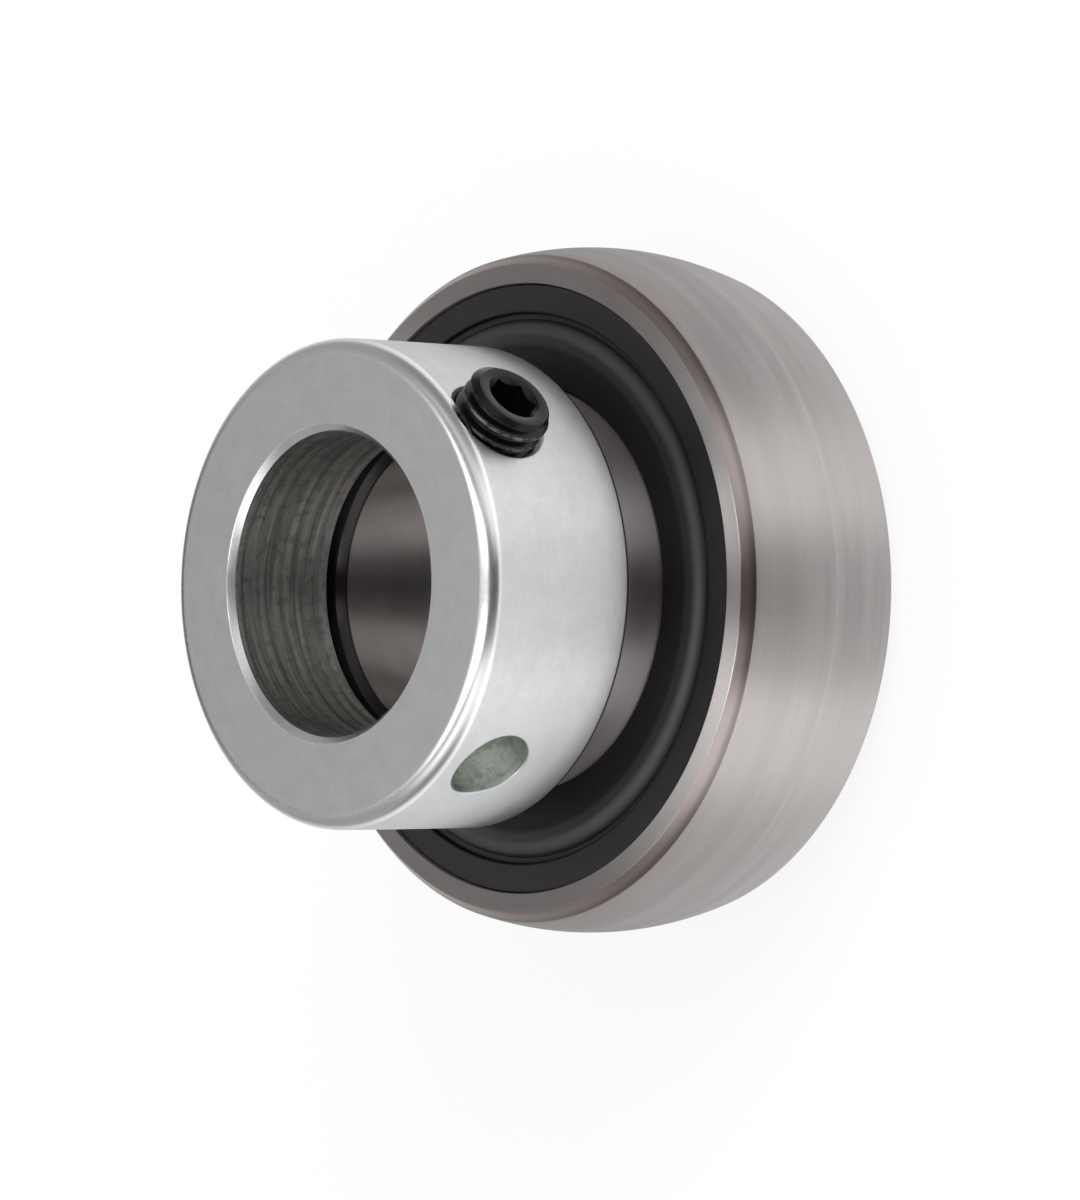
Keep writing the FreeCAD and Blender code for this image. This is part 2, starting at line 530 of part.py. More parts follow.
def make_set_screw(doc):
    """Turn the set screw along its own +X, with a cup point, and cut its hex socket."""
    body = make_body(doc, "set_screw")
    length = "sizes.screw_length"
    cup = "(sizes.cup_diameter / 2)"
    chamfer = "sizes.screw_end_chamfer"
    sketch = make_sketch(body, "screw_section")
    draw_outline(sketch, [
        ("sizes.cup_depth", "0"),
        ("0", cup),
        (f"{SCREW_RADIUS} - {cup}", SCREW_RADIUS),
        (f"{length} - {chamfer}", SCREW_RADIUS),
        (length, f"{SCREW_RADIUS} - {chamfer}"),
        (length, "0"),
    ])
    turn_profile(body, sketch, "screw_turned", axis="H_Axis")

    flat = "(sizes.socket_width / 2)"
    corner = f"({flat} / cos(30))"
    hexagon = make_sketch(body, "socket_section", "YZ_Plane", {"z": length})
    turns = [f"(sizes.socket_turn + {60 * number})" for number in range(6)]
    draw_outline(hexagon, [(f"{corner} * cos({turn})", f"{corner} * sin({turn})") for turn in turns])
    extrude_profile(body, hexagon, "socket", "sizes.socket_depth", "Pocket")

    point_depth = f"{flat} / tan(sizes.drill_point / 2)"
    cones = make_sketch(body, "socket_cones_section")
    floor = f"({length} - sizes.socket_depth)"
    draw_outline(cones, [(f"{floor} - {point_depth}", "0"), (floor, flat), (floor, "0")])
    turn_profile(body, cones, "socket_point", "Groove", "H_Axis")
    rim = make_sketch(body, "socket_mouth_section")
    draw_outline(rim, [
        (f"{length} - sizes.socket_chamfer", "0"),
        (f"{length} - sizes.socket_chamfer", flat),
        (length, f"{flat} + sizes.socket_chamfer"),
        (length, "0"),
    ])
    turn_profile(body, rim, "socket_mouth", "Groove", "H_Axis")

    angle = body.evalExpression("sizes.screw_angle")
    body.Placement = Placement(Vector(0, 0, 0), Rotation(Vector(0, 0, 1), angle))
    body.setExpression("Placement.Base.x", f"{SCREW_TIP} * cos(sizes.screw_angle)")
    body.setExpression("Placement.Base.y", f"{SCREW_TIP} * sin(sizes.screw_angle)")
    body.setExpression("Placement.Base.z", SCREW_HEIGHT)
    return body


def check_document(doc, parts):
    """Stop if any object failed or any sub-part has no sound shape."""
    failed = [item.Name for item in doc.Objects if {"Invalid", "Error"} & set(item.State)]
    if failed:
        raise RuntimeError(f"failed objects: {failed}")
    for part in parts:
        if part.Shape.isNull() or not part.Shape.isValid() or not part.Shape.Solids:
            raise RuntimeError(f"no sound shape: {part.Label}")


def main():
    doc = FreeCAD.newDocument("insert_bearing")
    make_sizes(doc)
    parts = [
        make_outer_ring(doc),
        make_inner_ring(doc),
        *[make_ball(doc, number) for number in range(1, BALL_COUNT + 1)],
        make_cage_half(doc, "cage_half_front", flip=False),
        make_cage_half(doc, "cage_half_back", flip=True),
        make_cage_rivets(doc),
        make_seal(doc, "seal_front", flip=False),
        make_seal_plate(doc, "seal_front_plate", flip=False),
        make_seal(doc, "seal_back", flip=True),
        make_seal_plate(doc, "seal_back_plate", flip=True),
        make_locking_collar(doc),
        make_set_screw(doc),
    ]
    doc.recompute()
    check_document(doc, parts)
    os.makedirs("parts", exist_ok=True)
    for part in parts:
        part.Shape.exportStep(f"parts/{part.Label}.step")
        print(part.Label, len(part.Shape.Solids), "solids", round(part.Shape.Volume, 3), "mm3")


main()
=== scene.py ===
import json
import math

import bmesh
import bpy
from bpy.props import FloatProperty, FloatVectorProperty, IntProperty, PointerProperty
from mathutils import Matrix, Vector


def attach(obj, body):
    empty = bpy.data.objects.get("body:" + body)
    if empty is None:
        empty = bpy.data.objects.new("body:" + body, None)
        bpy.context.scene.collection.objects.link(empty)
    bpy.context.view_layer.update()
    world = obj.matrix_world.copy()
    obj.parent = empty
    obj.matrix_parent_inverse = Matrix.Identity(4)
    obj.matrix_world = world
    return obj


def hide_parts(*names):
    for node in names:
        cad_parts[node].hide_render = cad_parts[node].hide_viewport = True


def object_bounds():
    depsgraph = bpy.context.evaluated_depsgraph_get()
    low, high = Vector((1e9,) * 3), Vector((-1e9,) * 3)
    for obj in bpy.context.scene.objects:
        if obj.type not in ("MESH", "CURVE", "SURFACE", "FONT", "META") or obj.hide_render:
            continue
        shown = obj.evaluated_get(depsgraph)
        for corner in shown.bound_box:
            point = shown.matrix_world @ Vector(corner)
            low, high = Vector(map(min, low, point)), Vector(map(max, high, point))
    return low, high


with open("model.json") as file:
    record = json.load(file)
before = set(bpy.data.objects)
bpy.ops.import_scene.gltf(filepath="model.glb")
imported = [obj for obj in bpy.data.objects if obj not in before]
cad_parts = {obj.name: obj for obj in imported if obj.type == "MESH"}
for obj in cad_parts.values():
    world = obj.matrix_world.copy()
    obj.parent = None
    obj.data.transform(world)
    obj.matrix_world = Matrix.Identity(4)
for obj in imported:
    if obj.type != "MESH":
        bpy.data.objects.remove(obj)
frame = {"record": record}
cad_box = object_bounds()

bl_info = {
    "name": "Insert Bearing",
    "version": (1, 0, 0),
    "blender": (4, 5, 0),
    "location": "3D View > Sidebar > Insert Bearing",
    "description": "Finishes an insert bearing with an eccentric locking collar",
    "category": "Object",
}

MM = 0.001
TURN = 2 * math.pi
MOUNTS = {mount["name"]: mount for mount in frame["record"]["mounts"]}
SHAFT_RADIUS = MOUNTS["shaft_bore"]["dims"]["r_mm"] * MM
COLLAR_BORE_RADIUS = MOUNTS["collar_bore"]["dims"]["r_mm"] * MM
DRIFT_RADIUS = MOUNTS["drift_hole"]["dims"]["r_mm"] * MM
DRILL_POINT = math.radians(59)
LIP_DEPTH = 0.4 * MM
LIP_SLOPE = 0.25 * MM
WELD = 0.0002 * MM
RACE_STEPS = 24
SPHERE_STEPS = 64
GROOVE_ROWS = 14
OUTSIDE_ROWS = 34
CAMERA_SIDE = (0.7426, -0.0109, 0.6697)
CAMERA_UP = (0.0, 0.9999, 0.0163)
CAMERA_PLACE = (263.35 * MM, -4.63 * MM, 242.11 * MM)
WHITE = (1.0, 1.0, 1.0)


def length(name, description, default):
    """A size in metres, given in millimetres."""
    return FloatProperty(name=name, description=description, default=default * MM, min=0.0,
                         precision=5, unit="LENGTH", subtype="DISTANCE")


def degrees(name, description, default):
    """An angle in radians, given in degrees."""
    return FloatProperty(name=name, description=description, default=math.radians(default),
                         unit="ROTATION", subtype="ANGLE")


def colour(name, description, default):
    """A linear colour."""
    return FloatVectorProperty(name=name, description=description, default=default, min=0.0, max=1.0,
                               size=3, subtype="COLOR")


class RingSizes(bpy.types.PropertyGroup):
    """Sizes of the inner and outer ring."""

    shoulder: length("Shoulder", "Radius of the inner ring's shoulders", 13.8)
    inner_race: length("Inner race", "Radius at the bottom of the inner raceway", 12.75)
    outer_race: length("Outer race", "Radius at the bottom of the outer raceway", 20.75)
    outer_shoulder: length("Outer shoulder", "Radius of the outer ring between raceway and seal", 19.4)
    race_groove: length("Race groove", "Radius of the raceway's own section", 4.12776)
    sphere: length("Sphere", "Radius of the spherical outside", 23.5)
    half_width: length("Half width", "Half the width of the outer ring", 7.0)
    back_overhang: length("Back overhang", "Inner ring beyond the back of the outer ring", 0.5)
    shoulder_front: length("Shoulder front", "Front of the inner ring's shoulder", 11.0)
    ring_front: length("Ring front", "Front face of the inner ring", 14.0)
    cam: length("Cam", "Radius of the eccentric cam", 12.7)
    cam_offset: length("Cam offset", "Eccentricity of the cam and of the recess", 0.8)
    rounding: length("Rounding", "Small rounding of the ground edges", 0.12)
    segments: IntProperty(name="Segments", description="Steps round a turned piece", default=288, min=48)


class RollingSizes(bpy.types.PropertyGroup):
    """Sizes of the balls, the pressed cage and its rivets."""

    ball: length("Ball", "Radius of a ball", 3.969)
    pitch: length("Pitch", "Radius of the circle of ball centres", 16.75)
    ball_count: IntProperty(name="Balls", description="Number of balls", default=8, min=3)
    sheet: length("Sheet", "Thickness of the pressed cage", 0.8)
    width: length("Width", "Width of the cage ring", 3.1)
    clearance: length("Clearance", "Gap between a ball and its pocket", 0.1)
    rivet_shank: length("Rivet shank", "Radius of a rivet's shank", 0.6)
    rivet_head: length("Rivet head", "Radius of a rivet's head", 1.1)
    rivet_height: length("Rivet height", "Height of a rivet's head", 0.5)


class SealSizes(bpy.types.PropertyGroup):
    """Sizes of the moulded seals and of their plates."""

    seat: length("Seat", "Radius of the lip that holds the seal", 20.7)
    groove: length("Groove", "Radius of the groove behind that lip", 20.95)
    shelf: length("Shelf", "Height of the shelf under the seal", 5.3)
    rim_top: length("Rim top", "Height of the flat rim", 6.75)
    rim_inside: length("Rim inside", "Inside radius of the flat rim", 18.7)
    floor: length("Floor", "Height of the groove beside the rim", 6.3)
    bead_foot: length("Bead foot", "Outside radius of the round bead", 18.3)
    bead: length("Bead", "Radius of the bead's crest circle", 17.3)
    bead_top: length("Bead top", "Height of the bead's crest", 6.9)
    lip: length("Lip", "Radius of the sealing lip", 13.85)
    lip_top: length("Lip top", "Height of the lip's front edge", 6.4)
    plate_outside: length("Plate outside", "Outside radius of the steel plate", 20.0)
    plate_inside: length("Plate inside", "Inside radius of the steel plate", 15.3)
    plate_sheet: length("Plate sheet", "Thickness of the steel plate", 0.5)


class CollarSizes(bpy.types.PropertyGroup):
    """Sizes of the locking collar."""

    outside: length("Outside", "Outside radius", 16.2)
    back: length("Back", "Height of the back face", 11.35)
    front: length("Front", "Height of the front face", 23.5)
    recess: length("Recess", "Radius of the eccentric recess", 13.05)
    recess_floor: length("Recess floor", "Height of the recess floor", 15.1)
    rounding: length("Rounding", "Rounding of the front outside edge", 1.1)
    chamfer: length("Chamfer", "Chamfer at the back outside edge", 0.15)
    bore_chamfer: length("Bore chamfer", "Chamfer at the mouth of the bore", 0.4)
    groove_pitch: length("Groove pitch", "Step of the turning grooves in the bore", 1.05)
    groove_depth: length("Groove depth", "Depth of the turning grooves in the bore", 0.012)
    drift_height: length("Drift height", "Height of the drift hole", 18.7)
    drift_depth: length("Drift depth", "Straight depth of the drift hole", 3.5)
    drift_angle: degrees("Drift angle", "Place of the drift hole round the axis", -47.0)
    sink: length("Countersink", "Radius of the countersink of the screw's hole", 3.55)
    screw_hole: length("Screw hole", "Radius of the screw's hole", 3.05)


class ScrewSizes(bpy.types.PropertyGroup):
    """Sizes of the set screw."""

    radius: length("Radius", "Radius over the thread's crests", 3.0)
    length: length("Length", "Length of the screw", 8.0)
    tip: length("Tip", "Distance of the tip from the shaft axis", 10.2)
    height: length("Height", "Height of the screw above the centre plane", 19.3)
    angle: degrees("Angle", "Place of the screw round the shaft axis", 41.7)
    pitch: length("Pitch", "Pitch of the thread", 1.0)
    thread_depth: length("Thread depth", "Depth of the thread", 0.52)
    end_chamfer: length("End chamfer", "Chamfer at the outer end", 0.44)
    socket: length("Socket", "Half the width across the flats of the hex socket", 1.5)
    socket_depth: length("Socket depth", "Depth of the hex socket", 3.5)
    socket_mouth: length("Socket mouth", "Cone at the mouth of the socket, beyond its flats", 0.35)
    socket_turn: degrees("Socket turn", "Turn of the socket's first corner", 10.0)
    cup: length("Cup", "Radius of the cup point's rim", 1.5)
    cup_depth: length("Cup depth", "Depth of the cup point", 0.75)


class Finishes(bpy.types.PropertyGroup):
    """Colours of the finishes."""

    ring_steel: colour("Ring steel", "Ground bearing steel", (0.465, 0.443, 0.437))
    ball_steel: colour("Ball steel", "Polished ball steel", (0.66, 0.65, 0.65))
    cage_steel: colour("Cage steel", "Pressed sheet steel", (0.46, 0.46, 0.47))
    collar_zinc: colour("Collar zinc", "Zinc plating", (0.575, 0.582, 0.588))
    bore_steel: colour("Bore steel", "Turned wall of the collar's bore", (0.58, 0.6, 0.58))
    drilled_steel: colour("Drilled steel", "Plated wall of the drilled hole", (0.74, 0.77, 0.73))
    seal_rubber: colour("Seal rubber", "Moulded rubber", (0.0035, 0.0033, 0.003))
    screw_black: colour("Screw black", "Black oxide", (0.02, 0.019, 0.018))


class StudioSettings(bpy.types.PropertyGroup):
    """Floor, light and camera."""

    floor: colour("Floor", "Colour of the plain floor", (0.93, 0.93, 0.93))
    ambient: FloatProperty(name="Ambient", description="Level of the soft light from all round", default=0.8)
    lens: FloatProperty(name="Lens", description="Focal length of the camera in millimetres", default=156.15,
                        unit="CAMERA")


class InsertBearing(bpy.types.PropertyGroup):
    """All settings of the insert bearing."""

    rings: PointerProperty(type=RingSizes)
    rolling: PointerProperty(type=RollingSizes)
    seals: PointerProperty(type=SealSizes)
    collar: PointerProperty(type=CollarSizes)
    screw: PointerProperty(type=ScrewSizes)
    finishes: PointerProperty(type=Finishes)
    studio: PointerProperty(type=StudioSettings)


def settings():
    """The scene's settings of the insert bearing."""
    return bpy.context.scene.insert_bearing


class Signal:
    """A node socket that takes part in sums, so that a pattern reads as a formula."""

    def __init__(self, tree, socket=None):
        self.tree = tree
        self.socket = socket

    def add(self, kind, inputs=None, output=0, **choices):
        """Add any node: first its settings, then the values or links of its sockets."""
        node = self.tree.nodes.new(kind)
        for name, value in choices.items():
            setattr(node, name, value)
        for name, value in (inputs or {}).items():
            if isinstance(value, Signal):
                self.tree.links.new(value.socket, node.inputs[name])
            else:
                node.inputs[name].default_value = value
        return Signal(self.tree, node.outputs[output] if node.outputs else None)

    def output(self, name):
        """Another output of this socket's own node."""
        return Signal(self.tree, self.socket.node.outputs[name])

    def parts(self):
        """The x, y and z of a vector."""
        x = self.add("ShaderNodeSeparateXYZ", {0: self}, "X")
        return x, x.output("Y"), x.output("Z")

    def math(self, operation, *operands):
        """Add a Math node."""
        return self.add("ShaderNodeMath", dict(enumerate(operands)), operation=operation)

    def __add__(self, other):
        return self.math("ADD", self, other)

    def __sub__(self, other):
        return self.math("SUBTRACT", self, other)

    def __rsub__(self, other):
        return self.math("SUBTRACT", other, self)

    def __mul__(self, other):
        return self.math("MULTIPLY", self, other)

    def __truediv__(self, other):
        return self.math("DIVIDE", self, other)

    def __abs__(self):
        return self.math("ABSOLUTE", self)

    __radd__ = __add__
    __rmul__ = __mul__

    def ramp(self, low, high, bottom=0.0, top=1.0):
        """Go smoothly from bottom at low to top at high."""
        return self.add("ShaderNodeMapRange", {"Value": self, "From Min": low, "From Max": high,
                                               "To Min": bottom, "To Max": top},
                        interpolation_type="SMOOTHSTEP")

    def fade(self, low, high):
        """Fall smoothly from 1 at low to 0 at high."""
        return self.ramp(low, high, 1.0, 0.0)


def reach(across, up):
    """The distance from an axis, given by two places across it."""
    return across.math("SQRT", across * across + up * up)


def mix_colours(share, first, second):
    """Mix two colours by a share from 0 to 1."""
    first, second = ((*item, 1.0) if isinstance(item, tuple) else item for item in (first, second))
    return share.add("ShaderNodeMix", {0: share, 6: first, 7: second}, 2, data_type="RGBA")


def shaded(value, *factors):
    """A colour times one factor, or times one factor for each channel."""
    factors = factors if len(factors) == 3 else factors * 3
    return tuple(min(1.0, channel * factor) for channel, factor in zip(value, factors))


def shades(share, value, low, high):
    """A colour times a factor that goes from low to high."""
    return mix_colours(share, shaded(value, low), shaded(value, high))


class Surface:
    """The start of a finish: the place on the piece, and the shader that the finish feeds."""

    def __init__(self, name):
        self.material = bpy.data.materials.new(name)
        self.material.use_nodes = True
        self.tree = self.material.node_tree
        self.shader = self.tree.nodes["Principled BSDF"]
        self.add = Signal(self.tree).add
        self.place = self.add("ShaderNodeTexCoord", output="Object")
        self.x, self.y, self.z = self.place.parts()
        self.radius = reach(self.x, self.y)
        self.slope = abs(self.place.output("Normal").parts()[2])

    def noise(self, scale, detail=3.0, roughness=0.55, vector=None):
        """Noise from 0 to 1."""
        return self.add("ShaderNodeTexNoise", {"Vector": vector or self.place, "Scale": scale,
                                               "Detail": detail, "Roughness": roughness})

    def lathe_lines(self, along, around, scale, detail=4.0):
        """Noise drawn out round the z axis, as a turning tool or a grinding wheel leaves it."""
        vector = self.add("ShaderNodeCombineXYZ", {
            "X": self.x / self.radius * around,
            "Y": self.y / self.radius * around,
            "Z": along,
        })
        return self.noise(scale, detail, vector=vector)

    def along_hole(self, angle):
        """The x, y and z of the place, with x along a hole that stands at this angle."""
        turned = self.add("ShaderNodeVectorRotate", {"Vector": self.place, "Angle": -angle},
                          rotation_type="Z_AXIS")
        return turned.parts()

    def set(self, **values):
        """Feed the shader's sockets. An underscore in a name stands for a space."""
        for name, value in values.items():
            socket = self.shader.inputs[name.replace("_", " ")]
            if isinstance(value, Signal):
                self.tree.links.new(value.socket, socket)
            else:
                socket.default_value = (*value, 1.0) if isinstance(value, tuple) else value

    def metal(self, base, roughness):
        """A bare metal of this colour and roughness."""
        self.set(Base_Color=base, Metallic=1.0, Roughness=roughness)

    def bump(self, height, distance, strength):
        """Feed a small relief to the shader's normal."""
        self.set(Normal=self.add("ShaderNodeBump", {"Height": height, "Distance": distance,
                                                    "Strength": strength}))

    def show(self, shader):
        """Send another shader to the output in place of the surface's own."""
        self.tree.links.new(shader.socket, self.tree.nodes["Material Output"].inputs["Surface"])


def ground_steel(surface):
    """Ground bearing steel: warm grey, with fine lines round the axis and a faint pass line on the sphere."""
    rings = settings().rings
    steel = tuple(settings().finishes.ring_steel)
    along = surface.z + surface.radius
    fine = surface.lathe_lines(along, 0.0005, 9000.0)
    broad = surface.lathe_lines(along, 0.002, 900.0, 2.0)
    cloud = surface.noise(90.0)
    sphere = surface.radius.ramp(rings.sphere - 0.7 * MM, rings.sphere - 0.5 * MM)
    broken = surface.noise(220.0, 2.0).ramp(0.35, 0.6)
    pass_line = abs(surface.z + 0.4 * MM).fade(0.05 * MM, 0.2 * MM) * sphere * broken
    turned = abs(surface.slope - 0.707).fade(0.12, 0.25)
    side = surface.slope.ramp(0.97, 0.99)
    shaded_front_end = surface.z.ramp(rings.ring_front - 0.7 * MM, rings.ring_front - 0.55 * MM)
    shoulder = surface.radius.fade(rings.shoulder + 0.2 * MM, rings.shoulder + 0.6 * MM) * (1 - side)
    bore = surface.radius.fade(SHAFT_RADIUS + 0.3 * MM, SHAFT_RADIUS + 0.5 * MM)
    painted_chamfer_shade = surface.radius.ramp(rings.sphere - 1.2 * MM, rings.sphere - 0.9 * MM)
    base = shades(fine.ramp(0.3, 0.7), steel, 0.965, 1.035)
    base = mix_colours(cloud.ramp(0.35, 0.7) * 0.5, base, shaded(steel, 1.0, 0.96, 0.95))
    base = mix_colours(pass_line * 0.35, base, shaded(steel, 1.3))
    # The turned chamfer keeps its brown heat-treatment oxide; its darkening towards the sphere is painted
    # shade that stands in for a rounded edge.
    brown_oxide_and_shade = shades(painted_chamfer_shade, shaded(steel, 0.8, 0.73, 0.71), 1.0, 0.62)
    base = mix_colours(turned, base, brown_oxide_and_shade)
    # Painted highlight: the side faces' colour is made a tenth lighter, standing in for the brighter
    # reflection on them.
    base = mix_colours(side, base, shaded(steel, 1.1))
    # Painted shade: the inner ring's front end, deep in the collar's recess, is made nearly black.
    base = mix_colours(shaded_front_end, base, shaded(steel, 0.08))
    grain = broad.ramp(0.3, 0.7, 0.36, 0.41) + side * 0.12 + shoulder * 0.08 - bore * 0.16
    surface.metal(base, grain * (1 - turned) + turned * 0.2)
    surface.set(Anisotropic=1.0, Anisotropic_Rotation=0.25)
    surface.bump(fine, 0.002 * MM, 0.4)


def polished_steel(surface):
    """Polished ball steel with the faintest lapping marks."""
    cloud = surface.noise(700.0, 4.0)
    surface.metal(shades(cloud, settings().finishes.ball_steel, 0.95, 1.05), cloud.ramp(0.3, 0.7, 0.06, 0.11))


def pressed_steel(surface):
    """Pressed sheet steel: dull, with tumbling marks."""
    marks = surface.noise(1500.0, 5.0)
    base = shades(surface.noise(250.0).ramp(0.3, 0.7), settings().finishes.cage_steel, 0.85, 1.1)
    surface.metal(base, marks.ramp(0.3, 0.7, 0.32, 0.48))
    surface.bump(marks, 0.01 * MM, 0.5)


def zinc_plating(surface):
    """Bright zinc plating over a turned surface, with a painted highlight on the front edges."""
    collar = settings().collar
    zinc = tuple(settings().finishes.collar_zinc)
    lines = surface.lathe_lines(surface.z + surface.radius, 0.0004, 5000.0)
    cloud = surface.noise(600.0, 5.0, 0.65)
    speck = surface.noise(2600.0, 3.0, 0.7)
    soft = 0.8 * collar.rounding
    rim = surface.radius.ramp(collar.outside - collar.rounding, collar.outside - soft)
    mouth = surface.radius.fade(COLLAR_BORE_RADIUS + 0.4 * MM, COLLAR_BORE_RADIUS + 0.6 * MM)
    edge = surface.z.ramp(collar.front - collar.rounding, collar.front - soft) * (rim + mouth)
    # Painted shade: the back chamfer is made nearly black, standing in for the shade of the gap beside the
    # inner ring.
    back_shade_line = surface.z.fade(collar.back + 0.24 * MM, collar.back + 0.34 * MM)
    back_shade_line = back_shade_line * surface.radius.ramp(collar.outside - 0.25 * MM, collar.outside - 0.15 * MM)
    calm = surface.z.ramp(collar.back + 1.0 * MM, collar.back + 6.0 * MM)
    sleek = surface.z.ramp(collar.back + 0.5 * MM, collar.back + 4.0 * MM, 0.24, 0.0)
    base = shades(cloud.ramp(0.35, 0.65), zinc, 0.96, 1.03)
    base = mix_colours(speck.ramp(0.56, 0.74) * 0.3, base, shaded(zinc, 0.82))
    base = mix_colours(lines.ramp(0.35, 0.65) * 0.3, base, shaded(zinc, 1.08))
    # Painted highlight: the front outside edge and the bore's mouth are made lighter than the rest of the
    # zinc.
    base = mix_colours(edge, base, shaded(zinc, 1.3))
    base = mix_colours(back_shade_line, base, shaded(zinc, 0.08))
    surface.metal(base, speck.ramp(0.3, 0.7, 0.37, 0.44) * (1 - edge * 0.4 - sleek))
    surface.bump((lines * 0.6 + speck * 0.4) * (1 - edge) * calm, 0.006 * MM, 0.6)


def turned_bore(surface):
    """The turned wall of the collar's bore, dark between the grooves."""
    steel = tuple(settings().finishes.bore_steel)
    turns = surface.z / settings().collar.groove_pitch + surface.noise(300.0) * 0.25
    groove = abs(turns.math("FRACT", turns) - 0.5).ramp(0.1, 0.4)
    fine = surface.lathe_lines(surface.z, 0.0003, 4500.0)
    speck = surface.noise(1400.0, 4.0, 0.7)
    base = shades(groove * 0.3 + fine.ramp(0.35, 0.6) * 0.7, steel, 0.7, 1.3)
    base = mix_colours(speck.ramp(0.45, 0.7) * 0.6, base, shaded(steel, 0.5))
    surface.metal(base, fine.ramp(0.3, 0.7, 0.36, 0.46))
    surface.bump(fine * 0.4 + speck * 0.6, 0.02 * MM, 0.6)


def drilled_wall(surface):
    """The wall of the drilled hole, with the drill's marks."""
    steel = tuple(settings().finishes.drilled_steel)
    depth = surface.along_hole(settings().collar.drift_angle)[0]
    lines = surface.noise(3000.0, vector=surface.add("ShaderNodeCombineXYZ", {"X": depth}))
    speck = surface.noise(900.0, 3.0, 0.7)
    base = shades(lines.ramp(0.3, 0.7), steel, 0.85, 1.1)
    base = mix_colours(speck.ramp(0.45, 0.65) * 0.6, base, shaded(steel, 0.5))
    surface.metal(base, 0.42)
    surface.bump(lines * 0.5 + speck * 0.5, 0.015 * MM, 0.7)


def moulded_rubber(surface):
    """Satin black rubber with a little bloom."""
    rubber = tuple(settings().finishes.seal_rubber)
    grain = surface.noise(2500.0, 4.0, 0.6)
    bloom = surface.noise(180.0, 4.0, 0.6)
    lines = surface.lathe_lines(surface.radius, 0.004, 2500.0)
    bead = abs(surface.radius - settings().seals.bead).fade(0.5 * MM, 1.0 * MM)
    base = shades(bloom.ramp(0.4, 0.8), rubber, 1.0, 1.9)
    base = mix_colours(lines.ramp(0.4, 0.7) * 0.3, base, shaded(rubber, 2.2))
    surface.set(Base_Color=base, Roughness=bloom.ramp(0.3, 0.7, 0.5, 0.6), Specular_IOR_Level=0.5,
                Coat_Weight=bead, Coat_Roughness=0.6)
    surface.bump(grain, 0.012 * MM, 0.6)


def black_oxide(surface):
    """Black oxide on the set screw, worn lighter on the crests."""
    black = tuple(settings().finishes.screw_black)
    screw = settings().screw
    _, across, up = surface.along_hole(screw.angle)
    radius = reach(across, up - screw.height)
    speck = surface.noise(1800.0, 4.0, 0.6)
    worn = radius.ramp(screw.radius - 0.12 * MM, screw.radius) * speck.ramp(0.35, 0.65)
    base = shades(worn * 0.8, black, 1.0, 8.0)
    surface.set(Base_Color=base, Metallic=0.85, Roughness=speck.ramp(0.3, 0.7, 0.2, 0.34))
    surface.bump(speck, 0.01 * MM, 0.5)


FINISHES = {maker.__name__: maker for maker in (
    ground_steel, polished_steel, pressed_steel, zinc_plating, turned_bore, drilled_wall, moulded_rubber,
    black_oxide)}


def finish(name):
    """The finish of this name, made once."""
    if name not in bpy.data.materials:
        FINISHES[name](Surface(name))
    return bpy.data.materials[name]


def rounded_outline(corners, steps=4):
    """Round the corners of a closed outline. A corner is (radius, height, rounding)."""
    nearly_straight = math.radians(88)
    points = []
    for number, (across, up, rounding) in enumerate(corners):
        here = Vector((across, up))
        before = (Vector(corners[number - 1][:2]) - here).normalized()
        after = (Vector(corners[(number + 1) % len(corners)][:2]) - here).normalized()
        half = before.angle(after) / 2
        if rounding == 0 or half > nearly_straight:
            points.append(here)
            continue
        setback = rounding / math.tan(half)
        centre = here + (before + after).normalized() * (rounding / math.sin(half))
        start = here + before * setback - centre
        sweep = start.angle_signed(here + after * setback - centre)
        for step in range(steps + 1):
            turned = start.copy()
            turned.rotate(Matrix.Rotation(-sweep * step / steps, 2))
            points.append(centre + turned)
    return points


def arc(centre, radius, start, end, steps):
    """Unrounded corners along an arc, from one angle to another."""
    angles = [start + (end - start) * step / steps for step in range(steps + 1)]
    return [(centre[0] + radius * math.cos(angle), centre[1] + radius * math.sin(angle), 0.0)
            for angle in angles]


def new_tree(name, **inputs):
    """Start a geometry tree with named inputs, and return the node that gives them."""
    tree = bpy.data.node_groups.new(name, "GeometryNodeTree")
    for title, kind in {"Geometry": "Geometry", **inputs, "Material": "Material"}.items():
        tree.interface.new_socket(title.replace("_", " "), in_out="INPUT", socket_type=f"NodeSocket{kind}")
    tree.interface.new_socket("Geometry", in_out="OUTPUT", socket_type="NodeSocketGeometry")
    return Signal(tree).add("NodeGroupInput", output="Geometry")


def end_tree(geometry, source):
    """End a geometry tree: real meshes, smooth, with the piece's material."""
    geometry = geometry.add("GeometryNodeRealizeInstances", {"Geometry": geometry})
    geometry = geometry.add("GeometryNodeSetShadeSmooth", {"Geometry": geometry})
    geometry = geometry.add("GeometryNodeSetMaterial",
                            {"Geometry": geometry, "Material": source.output("Material")})
    geometry.add("NodeGroupOutput", {"Geometry": geometry})


def turn_outline():
    """Turn an outline round the z axis. It lies in x and -y, measured from the path circle."""
    source = new_tree("turn_outline", Path_Radius="Float", Segments="Int")
    outline = source.add("GeometryNodeMeshToCurve", {"Mesh": source})
    path = source.add("GeometryNodeCurvePrimitiveCircle", {"Resolution": source.output("Segments"),
                                                           "Radius": source.output("Path Radius")})
    end_tree(source.add("GeometryNodeCurveToMesh", {"Curve": path, "Profile Curve": outline}), source)


